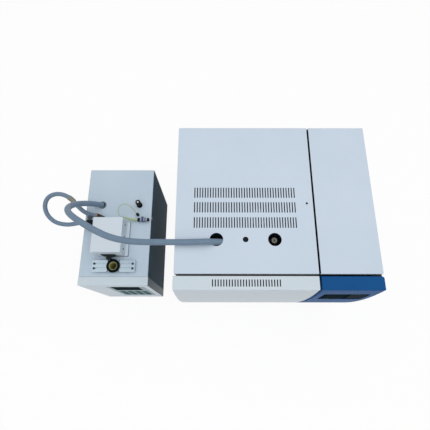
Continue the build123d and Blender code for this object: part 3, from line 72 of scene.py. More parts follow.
# ---- Studio floor and light
# A plain white floor and a white tent round it, lit by one large soft lamp overhead and a weak one in front.
def srgb(code):
    """Linear colour with alpha from an sRGB hex value."""
    values = [int(code[i:i + 2], 16) / 255 for i in (1, 3, 5)]
    return tuple(v / 12.92 if v <= 0.04045 else ((v + 0.055) / 1.055) ** 2.4 for v in values) + (1.0,)


def add_node(tree, kind, settings=None, links=None):
    """Adds a node; settings go to its own properties or its inputs, links join outputs to its inputs."""
    node = tree.nodes.new(kind)
    for name, value in (settings or {}).items():
        if isinstance(name, str) and hasattr(node, name):
            setattr(node, name, value)
        else:
            node.inputs[name].default_value = value
    for name, output in (links or {}).items():
        tree.links.new(output, node.inputs[name])
    return node


def new_material(name):
    """Empty material and its node tree."""
    material = bpy.data.materials.new(name)
    material.use_nodes = True
    material.node_tree.nodes.clear()
    return material, material.node_tree


def compute(tree, operation, first, second=None):
    """Output of a maths node; each value is a number or an output."""
    node = add_node(tree, "ShaderNodeMath", {"operation": operation})
    for place, value in enumerate((first, second)):
        if isinstance(value, float):
            node.inputs[place].default_value = value
        elif value is not None:
            tree.links.new(value, node.inputs[place])
    return node.outputs[0]


def seen_directly(tree):
    """1 for rays that show the background: from the camera, a mirror or through glass."""
    path = add_node(tree, "ShaderNodeLightPath").outputs
    return compute(tree, "MAXIMUM", compute(tree, "MAXIMUM", path["Is Camera Ray"], path["Is Glossy Ray"]),
                   path["Is Transmission Ray"])


floor_size = 60.0
floor_glow = 0.93                 # share of the floor that shows plain white to the camera
floor_mesh = bpy.data.meshes.new("floor")
floor_mesh.from_pydata([(x * floor_size, y * floor_size, 0.0)
                        for x, y in ((-1, -1), (1, -1), (1, 1), (-1, 1))],
                       [], [(0, 1, 2, 3)])
floor = bpy.data.objects.new("floor", floor_mesh)
scene.collection.objects.link(floor)
floor_paint, tree = new_material("floor paper")
paper = add_node(tree, "ShaderNodeBsdfDiffuse", {"Color": (0.92, 0.92, 0.92, 1.0)})
white = add_node(tree, "ShaderNodeEmission", {"Color": (1.0, 1.0, 1.0, 1.0), "Strength": 1.0})
share = compute(tree, "MULTIPLY", seen_directly(tree), floor_glow)
blend = add_node(tree, "ShaderNodeMixShader", None, {0: share, 1: paper.outputs[0], 2: white.outputs[0]})
add_node(tree, "ShaderNodeOutputMaterial", None, {"Surface": blend.outputs[0]})
floor_mesh.materials.append(floor_paint)

sky_strength = 0.42
world = bpy.data.worlds.new("studio tent")
scene.world = world
world.use_nodes = True
tree = world.node_tree
tree.nodes.clear()
tent = add_node(tree, "ShaderNodeBackground", {"Color": (0.97, 0.985, 1.0, 1.0), "Strength": sky_strength})
backdrop = add_node(tree, "ShaderNodeBackground", {"Color": (1.0, 1.0, 1.0, 1.0), "Strength": 1.0})
blend = add_node(tree, "ShaderNodeMixShader", None,
                 {0: seen_directly(tree), 1: tent.outputs[0], 2: backdrop.outputs[0]})
add_node(tree, "ShaderNodeOutputWorld", None, {"Surface": blend.outputs[0]})


def soft_lamp(name, place, aim, size, power, mirrored):
    """Large square lamp that faces a point; mirrored says whether shiny surfaces show it."""
    light = bpy.data.lights.new(name, "AREA")
    light.shape = "SQUARE"
    light.size = size
    light.energy = power
    lamp = bpy.data.objects.new(name, light)
    lamp.location = place
    lamp.visible_glossy = mirrored
    lamp.rotation_euler = (Vector(aim) - Vector(place)).to_track_quat("-Z", "Y").to_euler()
    scene.collection.objects.link(lamp)


soft_lamp("overhead lamp", (0.1, 0.2, 3.0), (0.0, 0.0, 0.3), 4.2, 62.0, False)
soft_lamp("front lamp", (-0.6, -2.6, 1.6), (0.0, 0.0, 0.3), 1.6, 10.0, True)


# ---- Heated transfer hose
# An insulated 18 mm line in a smooth grey silicone-coated sleeve. It leaves the deck through a grommet,
# arches over the valve cover and dives through the left port to the inlet. It is stiff and holds itself up.
def place_of(tree, stretch=(1.0, 1.0, 1.0)):
    """Place on the piece in metres, stretched along its axes where a pattern runs one way."""
    coordinate = add_node(tree, "ShaderNodeTexCoord")
    return add_node(tree, "ShaderNodeMapping", {"Scale": stretch},
                    {"Vector": coordinate.outputs["Object"]}).outputs[0]


def between(tree, value, low, high):
    """A 0 to 1 value spread over low to high."""
    return add_node(tree, "ShaderNodeMapRange", {"To Min": low, "To Max": high}, {"Value": value}).outputs[0]


def shade_mix(tree, share, first, second):
    """Colour between two; each is an sRGB value or an output."""
    mix = add_node(tree, "ShaderNodeMix", {"data_type": "RGBA"}, {0: share})
    for place, colour in ((6, first), (7, second)):
        if isinstance(colour, str):
            mix.inputs[place].default_value = srgb(colour)
        else:
            tree.links.new(colour, mix.inputs[place])
    return mix.outputs[2]


def noise(tree, place, size, detail, distortion=0.0, fade=0.5):
    """Cloudy 0 to 1 value with features of a size in metres."""
    return add_node(tree, "ShaderNodeTexNoise",
                    {"Scale": 1 / size, "Detail": detail, "Distortion": distortion, "Roughness": fade},
                    {"Vector": place}).outputs[0]


def finish_surface(tree, shader, bump, depth, reach):
    """Joins the shader to the material output, with a bump of the given share and depth in metres."""
    lift = add_node(tree, "ShaderNodeBump", {"Strength": depth, "Distance": reach}, {"Height": bump})
    tree.links.new(lift.outputs[0], shader.inputs["Normal"])
    add_node(tree, "ShaderNodeOutputMaterial", None, {"Surface": shader.outputs[0]})


def hose_jacket(name, dark, light, roughness):
    """Silicone-coated glass sleeve: dull grey, with a fine knit that shows as a faint grain.

    The real knit is about 0.8 mm; it is drawn at 2 mm so that it shows."""
    material, tree = new_material(name)
    place = place_of(tree)
    knit = add_node(tree, "ShaderNodeTexVoronoi", {"Scale": 1 / 0.002}, {"Vector": place})
    wear = noise(tree, place, 0.035, 4.0)
    shader = add_node(tree, "ShaderNodeBsdfPrincipled",
                      {"IOR": 1.45, "Sheen Weight": 0.12, "Sheen Roughness": 0.5},
                      {"Base Color": shade_mix(tree, wear, dark, light),
                       "Roughness": between(tree, wear, roughness - 0.06, roughness + 0.10)})
    finish_surface(tree, shader, knit.outputs["Distance"], 0.35, 0.0004)
    return material


def free_hose(name, route, radius, material, body):
    """Smooth round hose on one spline through a route in metres."""
    curve = bpy.data.curves.new(name, "CURVE")
    curve.dimensions = "3D"
    spline = curve.splines.new("NURBS")
    spline.points.add(len(route) - 1)
    for point, place in zip(spline.points, route):
        point.co = (*place, 1.0)
    spline.order_u = 3
    spline.use_endpoint_u = True
    spline.resolution_u = 10
    curve.bevel_depth = radius
    curve.bevel_resolution = 8
    curve.use_fill_caps = True
    curve.materials.append(material)
    piece = bpy.data.objects.new(name, curve)
    scene.collection.objects.link(piece)
    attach(piece, body)
    return piece


deck_top = 0.3735
transfer_route = [
    (-0.405, 0.028, deck_top), (-0.417, 0.024, 0.393), (-0.431, 0.017, 0.420), (-0.445, 0.006, 0.450),
    (-0.454, -0.008, 0.481), (-0.456, -0.026, 0.513), (-0.448, -0.046, 0.543), (-0.432, -0.065, 0.565),
    (-0.411, -0.082, 0.579), (-0.388, -0.097, 0.587), (-0.365, -0.111, 0.588), (-0.342, -0.123, 0.584),
    (-0.318, -0.133, 0.576), (-0.292, -0.139, 0.564), (-0.262, -0.141, 0.548), (-0.230, -0.139, 0.531),
    (-0.191, -0.135, 0.514), (-0.146, -0.1325, 0.504), (-0.105, -0.1325, 0.505), (-0.072, -0.1320, 0.5075),
    (-0.045, -0.1305, 0.504), (-0.0195, -0.1280, 0.490), (0.006, -0.1240, 0.4725), (0.027, -0.1205, 0.4595)]
transfer_diameter = 0.018
grey_sleeve = hose_jacket("silicone coated glass sleeve", "#61758A", "#768CA1", 0.62)
transfer_hose = free_hose("transfer_line", transfer_route, transfer_diameter / 2, grey_sleeve, "cabinet")
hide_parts("transfer_hose")


# ---- Sample loop hose and the fittings on it
# A 14 mm sleeved line that makes one open turn beside the sampler, from a tapered end behind the valve cover
# to the moulded elbow on the cover's side. A taped collar and an orange marking band sit on it.
def centre_line(piece):
    """Points along the middle of a hose."""
    bare = piece.data.copy()
    bare.bevel_depth = 0.0
    probe = bpy.data.objects.new("probe", bare)
    scene.collection.objects.link(probe)
    line = bpy.data.meshes.new_from_object(probe.evaluated_get(bpy.context.evaluated_depsgraph_get()))
    points = [v.co.copy() for v in line.vertices]
    bpy.data.objects.remove(probe)
    bpy.data.meshes.remove(line)
    bpy.data.curves.remove(bare)
    return points


def point_at(points, distance):
    """Place and direction on a line of points, a distance from its start."""
    for a, b in zip(points, points[1:]):
        run = (b - a).length
        if distance <= run:
            return a.lerp(b, distance / run), (b - a).normalized()
        distance -= run
    return points[-1], (points[-1] - points[-2]).normalized()


def add_piece(name, verts, faces, material, slot, smooth=50.0, body="cabinet"):
    """Mesh piece that rides on a body and takes the given material; slot is not used."""
    mesh = bpy.data.meshes.new(name)
    mesh.from_pydata([tuple(v) for v in verts], [], faces)
    mesh.validate()
    for face in mesh.polygons:
        face.use_smooth = True
    mesh.set_sharp_from_angle(angle=radians(smooth))
    mesh.materials.append(material)
    piece = bpy.data.objects.new(name, mesh)
    scene.collection.objects.link(piece)
    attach(piece, body)
    return piece


x_axis, y_axis, z_axis = (Vector(axis) for axis in ((1, 0, 0), (0, 1, 0), (0, 0, 1)))


def ring_frame(toward):
    """Two directions square to an axis."""
    toward = Vector(toward).normalized()
    first = toward.cross(z_axis)
    if first.length < 1e-3:
        first = toward.cross(x_axis)
    first.normalize()
    return first, toward.cross(first)


def ring_faces(rings, sides, flipped=False, closed=False):
    """Faces that join rings of points in order; closed joins the last ring to the first."""
    faces = []
    for ring in range(rings if closed else rings - 1):
        here, there = ring * sides, (ring + 1) % rings * sides
        for i in range(sides):
            j = (i + 1) % sides
            faces.append((here + i, here + j, there + j, there + i) if flipped
                         else (here + i, there + i, there + j, here + j))
    return faces


def closed_skin(rings, sides):
    """Faces that join rings of points in order and close both ends."""
    ends = [tuple(range(sides)), tuple(reversed(range((rings - 1) * sides, rings * sides)))]
    return ring_faces(rings, sides) + ends


def turned(start, toward, profile, sides=48, flutes=0, flute_depth=0.0, fluted=()):
    """Turned shape: profile rows are (distance along the axis, radius); fluted rows carry knurling."""
    start, toward = Vector(start), Vector(toward).normalized()
    first, second = ring_frame(toward)
    verts = []
    for row, (along, radius) in enumerate(profile):
        for i in range(sides):
            turn = 2 * pi * i / sides
            r = radius
            if flutes and row in fluted:
                r -= flute_depth * (0.5 - 0.5 * cos(flutes * turn))
            verts.append(start + toward * along + first * (r * cos(turn)) + second * (r * sin(turn)))
    return verts, closed_skin(len(profile), sides)


def joined(*shapes):
    """One list of points and faces from several."""
    verts, faces = [], []
    for more_verts, more_faces in shapes:
        shift = len(verts)
        verts += more_verts
        faces += [tuple(i + shift for i in face) for face in more_faces]
    return verts, faces


def swept(points, radii, sides=24):
    """Round skin along a line of points with a radius at each, closed at both ends."""
    verts = []
    first, _ = ring_frame(points[1] - points[0])
    for k, point in enumerate(points):
        toward = (points[min(k + 1, len(points) - 1)] - points[max(k - 1, 0)]).normalized()
        first = (first - toward * first.dot(toward)).normalized()
        second = toward.cross(first)
        for i in range(sides):
            turn = 2 * pi * i / sides
            verts.append(point + first * (radii[k] * cos(turn)) + second * (radii[k] * sin(turn)))
    return verts, closed_skin(len(points), sides)


def span(points, start, end, steps):
    """Evenly spaced points on a line between two distances."""
    return [point_at(points, start + (end - start) * k / steps)[0] for k in range(steps + 1)]


def mottled(name, settings, shades, tone, rough, grain, lift):
    """Material with one noise for tone and gloss and another for its grain. A noise is (size in metres,
    detail, distortion), rough a range, and lift the bump's share and depth in metres."""
    material, tree = new_material(name)
    place = place_of(tree)
    drift = noise(tree, place, *tone)
    shader = add_node(tree, "ShaderNodeBsdfPrincipled", settings,
                      {"Base Color": shade_mix(tree, drift, *shades),
                       "Roughness": between(tree, drift, *rough)})
    finish_surface(tree, shader, noise(tree, place, *grain), *lift)
    return material


def moulded_rubber(name, dark, light, roughness=0.62):
    """Moulded rubber: dull, faintly mottled, with a 0.7 mm spark-eroded grain drawn at 1.5 mm."""
    return mottled(name, {"IOR": 1.52}, (dark, light), (0.02, 3.0), (roughness - 0.08, roughness + 0.12),
                   (0.0015, 3.0), (0.25, 0.0003))


def moulded_plastic(name, dark, light, roughness, grain_mm=1.2, depth=0.2, specular=0.5):
    """Moulded plastic: even colour, a fine spark-eroded grain and slightly uneven gloss."""
    return mottled(name, {"IOR": 1.50, "Specular IOR Level": specular}, (dark, light), (0.12, 4.0),
                   (roughness - 0.05, roughness + 0.08), (grain_mm / 1000, 2.0), (depth, 0.0002))


loop_route = [
    (-0.414, -0.014, 0.385), (-0.436, -0.012, 0.390), (-0.456, -0.004, 0.400), (-0.472, 0.010, 0.412),
    (-0.488, 0.029, 0.426), (-0.512, 0.042, 0.435), (-0.540, 0.045, 0.435), (-0.565, 0.037, 0.428),
    (-0.5785, 0.020, 0.417), (-0.581, 0.000, 0.404), (-0.572, -0.020, 0.392), (-0.549, -0.038, 0.384),
    (-0.512, -0.0455, 0.386), (-0.486, -0.0455, 0.395), (-0.462, -0.0435, 0.403), (-0.441, -0.0435, 0.403)]
loop_diameter = 0.014
loop_radius = loop_diameter / 2
loop_hose = free_hose("loop_line", loop_route, loop_radius, grey_sleeve, "cabinet")
loop_line = centre_line(loop_hose)

collar_start, collar_end, collar_steps = 0.088, 0.112, 16
collar_points = span(loop_line, collar_start, collar_end, collar_steps)
collar_radii = [loop_radius + 0.0009 + 0.0007 * (k % 4 < 2) for k in range(collar_steps + 1)]
collar_radii[0] = collar_radii[-1] = loop_radius + 0.0003
taped = moulded_rubber("wound glass cloth tape", "#6E7A80", "#948C74", 0.75)
collar = add_piece("loop_hose_taped_collar", *swept(collar_points, collar_radii), taped, "grey_hose")

band_start, band_end, band_steps = 0.001, 0.0055, 4
verts, faces = swept(span(loop_line, band_start, band_end, band_steps),
                     [loop_radius + 0.0009] * (band_steps + 1))
orange = moulded_plastic("faded orange marking sleeve", "#9A6A48", "#AE7B55", 0.55)
band = add_piece("loop_hose_marking_band", verts, faces, orange, "grey_hose")

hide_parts("loop_hose")


# ---- Earth wire
# A thin green and yellow wire that loops once above the deck between the earth post and the sleeved lead.
wire_route = [
    (-0.286, -0.0036, 0.3825), (-0.295, 0.007, 0.394), (-0.309, 0.0195, 0.402), (-0.324, 0.0225, 0.4045),
    (-0.3375, 0.015, 0.4035), (-0.3435, 0.001, 0.401), (-0.3415, -0.011, 0.3975), (-0.334, -0.0185, 0.394),
    (-0.324, -0.021, 0.391)]
wire_diameter = 0.0022
wire_skin = moulded_plastic("green and yellow PVC", "#8FA878", "#B9C585", 0.35)
earth_wire = free_hose("earth_lead", wire_route, wire_diameter / 2, wire_skin, "cabinet")
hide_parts("earth_wire")


# ---- Cabinet sheets
# Folded 1 to 2 mm steel sheets, zinc-phosphated and powder-coated in a pale blue-grey. The coat has a fine
# orange peel and is slightly uneven in gloss.
def facing(tree, axis):
    """How far a face looks along an axis, either way."""
    normal = add_node(tree, "ShaderNodeTexCoord").outputs["Normal"]
    parts = add_node(tree, "ShaderNodeSeparateXYZ", None, {"Vector": normal})
    return compute(tree, "ABSOLUTE", parts.outputs[axis])


def slot_wall_shade(tree, colour, box):
    """Paints near-black shade on the upright walls of the slots in a box, standing in for the shade inside
    the slots. A point counts when it is less than 1 away from the box's middle in half sizes, and its face is
    steep enough."""
    middle = [(low + high) / 2 for low, high in box]
    half = [(high - low) / 2 for low, high in box]
    offset = add_node(tree, "ShaderNodeVectorMath", {"operation": "SUBTRACT", 1: middle}, {0: place_of(tree)})
    share = add_node(tree, "ShaderNodeVectorMath", {"operation": "DIVIDE", 1: half}, {0: offset.outputs[0]})
    away = add_node(tree, "ShaderNodeVectorMath", {"operation": "ABSOLUTE"}, {0: share.outputs[0]})
    reach = add_node(tree, "ShaderNodeSeparateXYZ", None, {"Vector": away.outputs[0]}).outputs
    flat = compute(tree, "MAXIMUM", reach["X"], reach["Y"])
    tall = compute(tree, "MAXIMUM", reach["Z"], compute(tree, "MULTIPLY", facing(tree, "Z"), 2.0))
    is_shaded_slot_wall = compute(tree, "LESS_THAN", compute(tree, "MAXIMUM", flat, tall), 1.0)
    return shade_mix(tree, is_shaded_slot_wall, colour, "#101820")


def powder_coat(name, dark, light, roughness, peel_mm=1.6, sides=None, specular=0.35, side_axis="X",
                slots=None):
    """Powder coat on steel: satin, with orange peel of about 1 mm drawn at 1.6 mm. sides gives two darker
    colours for the faces that look left and right, where the coat is of another, darker colour, deepened
    further as painted shade. With side_axis "Z" they are all the faces that stand upright. slots is a box of
    slots whose walls get painted shade."""
    material, tree = new_material(name)
    place = place_of(tree)
    cloud = noise(tree, place, 0.18, 5.0, fade=0.6)
    colour = shade_mix(tree, cloud, dark, light)
    # sides: darker paint on the side faces, deepened further as painted shade.
    if sides:
        compare = "GREATER_THAN" if side_axis == "X" else "LESS_THAN"
        side_limit = 0.7          # about 45 degrees
        is_slate_and_shade_side = compute(tree, compare, facing(tree, side_axis), side_limit)
        colour = shade_mix(tree, is_slate_and_shade_side, colour, shade_mix(tree, cloud, *sides))
    # The slots' upright walls get near-black painted shade.
    if slots:
        colour = slot_wall_shade(tree, colour, slots)
    shader = add_node(tree, "ShaderNodeBsdfPrincipled", {"IOR": 1.50, "Specular IOR Level": specular},
                      {"Base Color": colour,
                       "Roughness": between(tree, cloud, roughness - 0.05, roughness + 0.09)})
    finish_surface(tree, shader, noise(tree, place, peel_mm / 1000, 1.0), 0.18, 0.0002)
    return material


def dress(material, *nodes):
    """Gives CAD nodes their material."""
    for node in nodes:
        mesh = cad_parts[node].data
        mesh.materials.clear()
        mesh.materials.append(material)


sheet_shades = ("#C2CFDD", "#CEDAE7")
cabinet_coat = powder_coat("powder coat pale blue grey", *sheet_shades, 0.46)
dress(cabinet_coat, "left_side_panel", "right_side_panel", "rear_panel", "electronics_top_cover")
# The top cover's slot walls carry near-black painted shade.
slot_shaded_coat = powder_coat("powder coat pale blue grey, slot walls with painted shade", *sheet_shades, 0.46,
                           slots=((-0.0905, 0.2225), (-0.0900, 0.0500), (0.4870, 0.4899)))
dress(slot_shaded_coat, "oven_top_cover")
# The bulkhead, the bay partition and the fan motor are coloured near black as painted shade of the gaps and
# slots they sit behind.
bay_shade_coat = powder_coat("navy black coat as painted shade of the gaps", "#070D15", "#0D1620", 0.65, specular=0.1)
dress(bay_shade_coat, "front_bulkhead", "bay_partition", "fan_motor")


def zinc_coat(name, dark, light, spangle_mm=9.0, roughness=0.42):
    """Hot-dip galvanised sheet: dull silver with zinc crystals of about 9 mm that differ in shade."""
    material, tree = new_material(name)
    place = place_of(tree)
    crystal = add_node(tree, "ShaderNodeTexVoronoi", {"Scale": 1000 / spangle_mm}, {"Vector": place})
    shade = add_node(tree, "ShaderNodeSeparateColor", None, {0: crystal.outputs["Color"]})
    shader = add_node(tree, "ShaderNodeBsdfPrincipled", {"Metallic": 1.0},
                      {"Base Color": shade_mix(tree, shade.outputs[0], dark, light),
                       "Roughness": between(tree, shade.outputs[1], roughness - 0.08, roughness + 0.10)})
    finish_surface(tree, shader, crystal.outputs["Distance"], 0.05, 0.0003)
    return material


galvanised = zinc_coat("galvanised steel", "#8E9396", "#B4B9BB")
dress(galvanised, "base_plate", "exhaust_duct", "exhaust_flap")
# The oven casing, seen through the cover's slots, is coloured near black as painted shade.
dress(zinc_coat("galvanised steel darkened as painted shade", "#1B232B", "#2A343D"), "oven_casing")


# ---- Rubber feet
# Black moulded rubber feet, four under each cabinet, held by a screw from below.
black_rubber = moulded_rubber("black moulded rubber", "#101214", "#1C1F22")
dress(black_rubber, "rubber_feet")


# ---- Panel screws
# Zinc-plated pan-head screws with a cross recess. They hold the covers, the valve cover and the vial plate.
def lathe_marks(name, dark, light, roughness, mark_mm=0.6, depth=0.12):
    """Turned or drawn metal: bright, with fine marks 0.1 mm apart drawn at 0.6 mm."""
    return mottled(name, {"Metallic": 1.0}, (dark, light), (0.015, 4.0), (roughness - 0.07, roughness + 0.12),
                   (mark_mm / 1000, 2.0), (depth, 0.0002))


def pan_head(place, toward, radius, height):
    """Domed screw head with a cross recess cut to half its height."""
    place, toward = Vector(place), Vector(toward).normalized()
    first, second = ring_frame(toward)
    sides = 32
    rings = ((0.0, 1.0, False), (0.55, 1.0, False), (0.85, 0.86, False), (1.0, 0.62, True),
             (1.02, 0.42, True), (1.02, 0.20, True))
    verts = []
    for lift, share, cut in rings:
        for i in range(sides):
            turn = 2 * pi * i / sides
            x, y = share * cos(turn), share * sin(turn)
            in_cross = cut and min(abs(x), abs(y)) < 0.13 and hypot(x, y) < 0.63
            high = height * (lift - (0.45 if in_cross else 0.0))
            verts.append(place + toward * high + first * (radius * x) + second * (radius * y))
    middle = len(verts)
    verts.append(place + toward * (height * 0.50))
    faces = ring_faces(len(rings), sides, flipped=True)
    last = (len(rings) - 1) * sides
    faces += [(last + i, last + (i + 1) % sides, middle) for i in range(sides)]
    faces.append(tuple(reversed(range(sides))))
    return verts, faces


zinc_screw = lathe_marks("zinc plated screw steel", "#3E474F", "#69747E", 0.34)
dark_screw = lathe_marks("black oxide screw steel", "#1A2026", "#30373E", 0.40)
# Each screw is its place, direction, radius and height: on the covers, the valve cover, the sampler's side,
# the ring.
well_x, well_y, plate_top = -0.3462, -0.1810, 0.3855
dark_screws = [((0.2545, -0.0075, 0.4900), z_axis, 0.0032, 0.0016)]
dark_screws += [((x, 0.2545, 0.4790), y_axis, 0.0032, 0.0016) for x in (-0.0825, 0.2130, 0.3190, 0.4175)]
dark_screws += [((-0.3155, y, 0.4005), x_axis, 0.0026, 0.0015) for y in (-0.1295, -0.0900, -0.0505)]
dark_screws += [((-0.2365, y, z), x_axis, 0.0030, 0.0014)
                for y, z in ((-0.2015, 0.3315), (-0.1795, 0.0600), (0.1175, 0.3315))]
dark_screws += [((well_x + i * 0.018, well_y + j * 0.0165, plate_top), z_axis, 0.0019, 0.0020)
                for i in (-1, 1) for j in (-1, 1)]
plate_screws = [((well_x + i * 0.061, well_y + j * 0.0075, plate_top), z_axis, 0.0040, 0.0008)
                for i in (-1, 1) for j in (-1, 1)]
dark_heads = joined(*[pan_head(*screw) for screw in dark_screws])
dark_heads = add_piece("cover_screws", *dark_heads, dark_screw, "screw_steel", 35.0)
plate_head, plate_heads = 0.0024, []
for place, toward, radius, height in plate_screws:
    washer = [(0.0, radius), (height * 0.7, radius), (height, radius * 0.92), (height, plate_head)]
    plate_heads.append(turned(place, toward, washer, 32))
    plate_heads.append(pan_head(Vector(place) + Vector(toward) * height, toward, plate_head, plate_head))
bright_heads = add_piece("vial_plate_screws", *joined(*plate_heads), zinc_screw, "screw_steel", 35.0)
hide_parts("panel_screws")
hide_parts("panel_screws")


# ---- Oven door
# A crowned moulding in painted ABS with a row of vents in its top, a stainless liner that plugs into the
# oven, and a woven seal. It swings on pressed steel hinges at the left.
# The door's vent walls carry near-black painted shade.
door_paint = powder_coat("painted ABS door, vent walls with painted shade", "#C5D1D9", "#D1DBE2", 0.42,
                         slots=((-0.0360, 0.1680), (-0.2585, -0.2370), (0.4865, 0.48995)))
dress(door_paint, "door_shell")


def brushed_steel(name, dark, light, roughness, along="X", scratch_mm=0.8):
    """Brushed stainless sheet: long fine scratches one way, 0.1 mm apart, drawn 0.8 mm apart."""
    material, tree = new_material(name)
    stretch = [0.02 if axis == along else 1.0 for axis in "XYZ"]
    scratch = noise(tree, place_of(tree, stretch), scratch_mm / 1000, 2.0)
    cloud = noise(tree, place_of(tree), 0.08, 4.0)
    rough = compute(tree, "MULTIPLY", scratch, cloud)
    shader = add_node(tree, "ShaderNodeBsdfPrincipled", {"Metallic": 1.0},
                      {"Base Color": shade_mix(tree, cloud, dark, light),
                       "Roughness": between(tree, rough, roughness - 0.06, roughness + 0.22)})
    finish_surface(tree, shader, scratch, 0.15, 0.0002)
    return material


stainless = brushed_steel("brushed stainless steel", "#9A9B98", "#B9BAB6", 0.34)
dress(stainless, "door_liner", "fan_shroud", "flame_detector")
# The inlet bodies and the transfer adapter are coloured near black as painted shade.
inlet_shade_steel = brushed_steel("stainless steel darkened as painted shade", "#23292D", "#363D42", 0.45)
dress(inlet_shade_steel, "transfer_adapter", "injector_bodies")
dress(brushed_steel("oven stainless steel, straw tinted by heat", "#8E8778", "#ADA591", 0.36, "Y"),
      "oven_liner")
hinge_steel = lathe_marks("zinc plated hinge steel", "#6C7072", "#94989A", 0.36)
dress(hinge_steel, "hinge_brackets", "door_hinge_leaves", "fan_shaft")


# ---- Door seal
# A square tube of woven glass fibre, laid in a loop on the door's back. It is soft, a little uneven and pale.
def woven_glass(name, dark, light, strand_mm=2.4):
    """Woven glass fibre: pale, dull, with 1.2 mm strands drawn at 2.4 mm and a faint fuzz."""
    material, tree = new_material(name)
    place = place_of(tree)
    weave = {"wave_type": "BANDS", "bands_direction": "DIAGONAL", "Scale": 1000 / strand_mm / (2 * pi) * 2}
    warp = add_node(tree, "ShaderNodeTexWave", weave, {"Vector": place})
    fuzz = noise(tree, place, 0.0012, 4.0)
    shader = add_node(tree, "ShaderNodeBsdfPrincipled",
                      {"IOR": 1.50, "Roughness": 0.85, "Sheen Weight": 0.3, "Sheen Roughness": 0.6},
                      {"Base Color": shade_mix(tree, fuzz, dark, light)})
    finish_surface(tree, shader, compute(tree, "ADD", warp.outputs["Fac"], fuzz), 0.5, 0.0005)
    return material


seal_low, seal_high = (Vector(corner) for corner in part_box("door_gasket"))
glass_seal = woven_glass("woven glass fibre seal", "#9C9A8E", "#C9C6B8")


def corner_arcs(x0, x1, z0, z1, radius, steps):
    """The four rounded corners of a rectangle in X and Z, each a list of points."""
    arcs = []
    for cx, cz, first in ((x1 - radius, z1 - radius, 0), (x0 + radius, z1 - radius, 90),
                          (x0 + radius, z0 + radius, 180), (x1 - radius, z0 + radius, 270)):
        turns = [radians(first + 90 * k / steps) for k in range(steps + 1)]
        arcs.append([(cx + radius * cos(turn), cz + radius * sin(turn)) for turn in turns])
    return arcs


def rounded_loop(low, high, corner, inset, steps=10, straight_steps=12):
    """Points round a rounded rectangle, inset from two corners."""
    arcs = corner_arcs(low.x + inset, high.x - inset, low.z + inset, high.z - inset,
                       max(corner - inset, 0.0005), steps)
    points = []
    for arc, (x, z) in zip(arcs, [arc[0] for arc in arcs[1:] + arcs[:1]]):
        a = arc[-1]
        points += arc
        points += [(a[0] + (x - a[0]) * k / straight_steps, a[1] + (z - a[1]) * k / straight_steps)
                   for k in range(1, straight_steps)]
    return points


# The section is a row of insets across the tape, each with its share of the height, crowned like a soft tube.
seal_width, seal_corner, seal_edge, section_steps = 0.014, 0.026, 0.0004, 10
seal_height = seal_high.y - seal_low.y
verts = []
for k in range(section_steps + 1):
    across = k / section_steps
    crown = 1 - (2 * across - 1) ** 4
    ring = rounded_loop(seal_low, seal_high, seal_corner, seal_edge + across * (seal_width - 2 * seal_edge))
    for i, (x, z) in enumerate(ring):
        pucker = 0.00018 * sin(i * 2.4)
        verts.append((x, seal_low.y + seal_height * crown * 0.99 + pucker * crown, z))
faces = ring_faces(section_steps + 1, len(ring), flipped=True, closed=True)
seal = add_piece("door_seal", verts, faces, glass_seal, "woven_seal", 70.0, "oven_door")
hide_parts("door_gasket")


# ---- Oven interior
# A stirred-air oven: a spun stainless fan behind a pressed shroud, a sheathed heater wound round the fan, and
# a column wound in a wire cage that hangs from two pairs of hooks.
dress(brushed_steel("pressed stainless fan steel", "#8F8B80", "#ABA799", 0.32, "X"), "fan_impeller")
dress(lathe_marks("drawn stainless wire", "#84837C", "#A9A79E", 0.28), "column_cage")

# The heater's sheath is a nickel alloy browned and blued by heat in soft bands. The wool is matted in 30 mm
# tufts.
dress(mottled("oxidised heater sheath", {"Metallic": 0.7, "IOR": 1.5}, ("#2B2A33", "#6A5040"), (0.03, 4.0),
              (0.42, 0.62), (0.0012, 2.0), (0.2, 0.0002)), "heater_coil")
wool_tufts = (0.03, 8.0, 1.5)
dress(mottled("mineral wool", {"Sheen Weight": 0.3}, ("#A6925A", "#D8C996"), wool_tufts, (0.95, 0.95),
              wool_tufts, (0.9, 0.003)), "oven_insulation")

# The column is 30 m of amber fused-silica tube, 0.5 mm thick, in close turns. Its turns are drawn 1.6 mm
# apart.
coil_low, coil_high = (Vector(corner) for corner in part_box("column_coil"))
coil_middle = (coil_low + coil_high) / 2
coil_outer = (coil_high.x - coil_low.x) / 2
coil_inner, turn_pitch, turn_depth, coil_edge = 0.080, 0.0016, 0.0003, 0.003
coil_sides, turn_steps = 96, 4    # turn_steps is the number of points across one turn of the tube
amber = moulded_plastic("polyimide coated silica", "#6B3F16", "#9A6428", 0.26, 0.8, 0.1)
half_width = (coil_high.y - coil_low.y) / 2 - turn_depth
across_steps = int(2 * half_width / turn_pitch) * turn_steps
deep_steps = int((coil_outer - coil_inner) / turn_pitch) * turn_steps
coil_step = (coil_outer - coil_edge - coil_inner) / deep_steps
wave = [turn_depth * (1 + cos(2 * pi * k / turn_steps)) for k in range(turn_steps)]
dip = [turn_depth * (1 - cos(2 * pi * k / turn_steps)) for k in range(turn_steps)]
coil_profile = []
for k in range(across_steps + 1):
    crown = 0.0022 * (2 * k / across_steps - 1) ** 4
    coil_profile.append((-half_width + 2 * half_width * k / across_steps,
                         coil_outer - 0.0002 - crown - wave[k % turn_steps]))
for k in range(1, deep_steps):
    coil_profile.append((half_width - dip[k % turn_steps], coil_outer - coil_edge - coil_step * k))
for k in range(across_steps + 1):
    coil_profile.append((half_width - 2 * half_width * k / across_steps,
                         coil_inner + 0.0004 + wave[k % turn_steps]))
for k in range(1, deep_steps):
    coil_profile.append((-half_width + dip[k % turn_steps], coil_inner + coil_step * k))
verts, _ = turned(coil_middle, y_axis, coil_profile, coil_sides)
faces = ring_faces(len(coil_profile), coil_sides, closed=True)
column = add_piece("column_windings", verts, faces, amber, "column_amber", 75.0)
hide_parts("column_coil")
